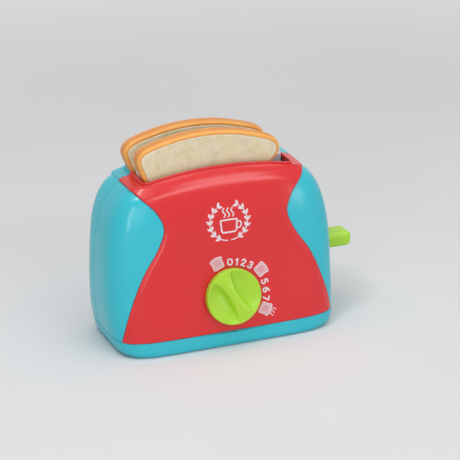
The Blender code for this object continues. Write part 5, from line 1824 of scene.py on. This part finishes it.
@dataclass
class Studio:
    """Camera, soft lights, pale floor and surroundings."""

    place: Triple = (-0.5780, -1.5428, 0.7147)
    right: Triple = (0.93115118, -0.3642388, -0.01695796)
    down: Triple = (-0.14661535, -0.33141958, -0.932022)
    forward: Triple = (0.33385837, 0.87033968, -0.36200473)
    lens: float = 191.69
    sensor: float = 36.0
    aim: Triple = (0.0, 0.0, 0.07)
    floor_colour: Colour = (0.80, 0.80, 0.81)
    floor_radii: Row = (0.4, 1.0, 2.0, 4.0, 8.0)
    floor_depth: float = 0.02
    # Strength of the surroundings for light that reaches the toaster, and as they are seen
    ambient: float = 0.26
    pale: float = 0.78
    # Distances between which the floor goes over to the pale surroundings
    fade: Pair = (0.45, 1.3)
    # Name, place, width, height and power
    lamps: tuple[tuple[str, Triple, float, float, float], ...] = (
        ("ceiling", (0.05, -0.20, 1.75), 2.2, 2.0, 20.5),
        ("strip", (0.37, -1.38, 0.99), 1.0, 0.20, 3.6),
        ("left_strip", (-0.90, -1.14, 0.42), 0.14, 0.65, 1.6),
        ("left_front", (-0.70, -1.45, 0.42), 1.1, 0.60, 2.9),
        ("key", (-0.66, -0.43, 1.46), 0.25, 0.25, 2.6),
        ("fill", (0.95, -1.20, 0.16), 0.30, 0.30, 1.1),
        ("back", (0.10, 1.50, 0.40), 1.0, 0.5, 1.0),
    )

    def build(self) -> None:
        """Builds the studio."""
        self.camera()
        self.lights()
        self.surroundings()

    def camera(self) -> None:
        """The camera at the photograph's viewing angle."""
        data = bpy.data.cameras.new("camera")
        data.sensor_width = self.sensor
        data.lens = self.lens
        made = put("camera", data)
        columns = (self.right, [-v for v in self.down], [-v for v in self.forward])
        turn = Matrix([[column[row] for column in columns] for row in range(3)])
        made.matrix_world = Matrix.Translation(self.place) @ turn.to_4x4()
        bpy.context.scene.camera = made

    def lights(self) -> None:
        """Soft rectangular lamps aimed at the middle of the toaster."""
        for name, place, width, height, power in self.lamps:
            data = bpy.data.lights.new(name, "AREA")
            data.shape = "RECTANGLE"
            data.size = width
            data.size_y = height
            data.energy = power
            made = put(name, data)
            away = np.asarray(place) - self.aim
            away /= np.linalg.norm(away)
            side = np.cross([0.0, 0.0, 1.0], away)
            side /= np.linalg.norm(side)
            turn = Matrix(np.stack([side, np.cross(away, side), away], axis=1).tolist())
            made.matrix_world = Matrix.Translation(place) @ turn.to_4x4()

    @staticmethod
    def seen(nodes: Nodes) -> bpy.types.NodeSocket:
        """1 for rays from the camera, off a glossy surface or through a clear one, else 0."""
        path = nodes.add("ShaderNodeLightPath").outputs
        clear = nodes.maths("MAXIMUM", path["Is Glossy Ray"], path["Is Transmission Ray"])
        return nodes.maths("MAXIMUM", path["Is Camera Ray"], clear)

    def surroundings(self) -> None:
        """A wide pale floor with faint unevenness, and even light from all round.

        Far off, the pale surroundings take the place of the lit floor.
        """
        rings = circle(np.array(self.floor_radii)[:, None], 0.0, full_turn(96))
        low = rings[::-1] - (0, 0, self.floor_depth)
        mesh = tube(np.concatenate([rings, low])).mesh("floor")
        material = bpy.data.materials.new("floor")
        material.use_nodes = True
        nodes = Nodes(material.node_tree)
        place = nodes.add("ShaderNodeTexCoord").outputs["Object"]
        shade = nodes.fit(nodes.noise(place, 6.0), NOISE_SPAN, (0.985, 1.0))
        colour = nodes.shaded(opaque(self.floor_colour), shade)
        far = nodes.add("ShaderNodeVectorMath", {0: place}, operation="LENGTH").outputs["Value"]
        share = nodes.times(nodes.fit(far, self.fade), self.seen(nodes))
        black = (0.0, 0.0, 0.0, 1.0)
        values = {
            "Base Color": nodes.mix(share, colour, black),
            "Emission Color": nodes.mix(share, black, opaque((self.pale,) * 3)),
            "Roughness": 0.6,
            "Specular IOR Level": 0.0,
            "Emission Strength": 1.0,
        }
        nodes.feed(material.node_tree.nodes["Principled BSDF"], values)
        mesh.materials.append(material)
        put("floor", mesh)
        world = bpy.data.worlds.new("surroundings")
        world.use_nodes = True
        bpy.context.scene.world = world
        nodes = Nodes(world.node_tree)
        strength = nodes.fit(self.seen(nodes), (0.0, 1.0), (self.ambient, self.pale))
        values = {"Strength": strength, "Color": (1.0, 1.0, 1.0, 1.0)}
        nodes.feed(world.node_tree.nodes["Background"], values)
        bpy.context.scene.view_settings.view_transform = "Standard"


def main() -> None:
    """Builds the studio and the toaster's pieces in order."""
    logging.basicConfig(level=logging.INFO, format="%(message)s")
    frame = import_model()
    Studio().build()
    case = Case()
    case.build()
    place = mm(-8.5, -8.0, 57.37552)
    front = BreadSlice("front_slice", Body.FRONT_SLICE, place, math.radians(2.0))
    place = mm(-8.4, 16.5, 56.83716)
    rear = BreadSlice("rear_slice", Body.REAR_SLICE, place, math.radians(1.0))
    front.build()
    rear.build()
    dial = Dial(case.form)
    dial.build()
    Lever().build()
    Print(case.form, dial, front).build()
    Screws().build(case)
    Mechanism().dress(frame["nodes"])


if __name__ == "__main__":
    main()
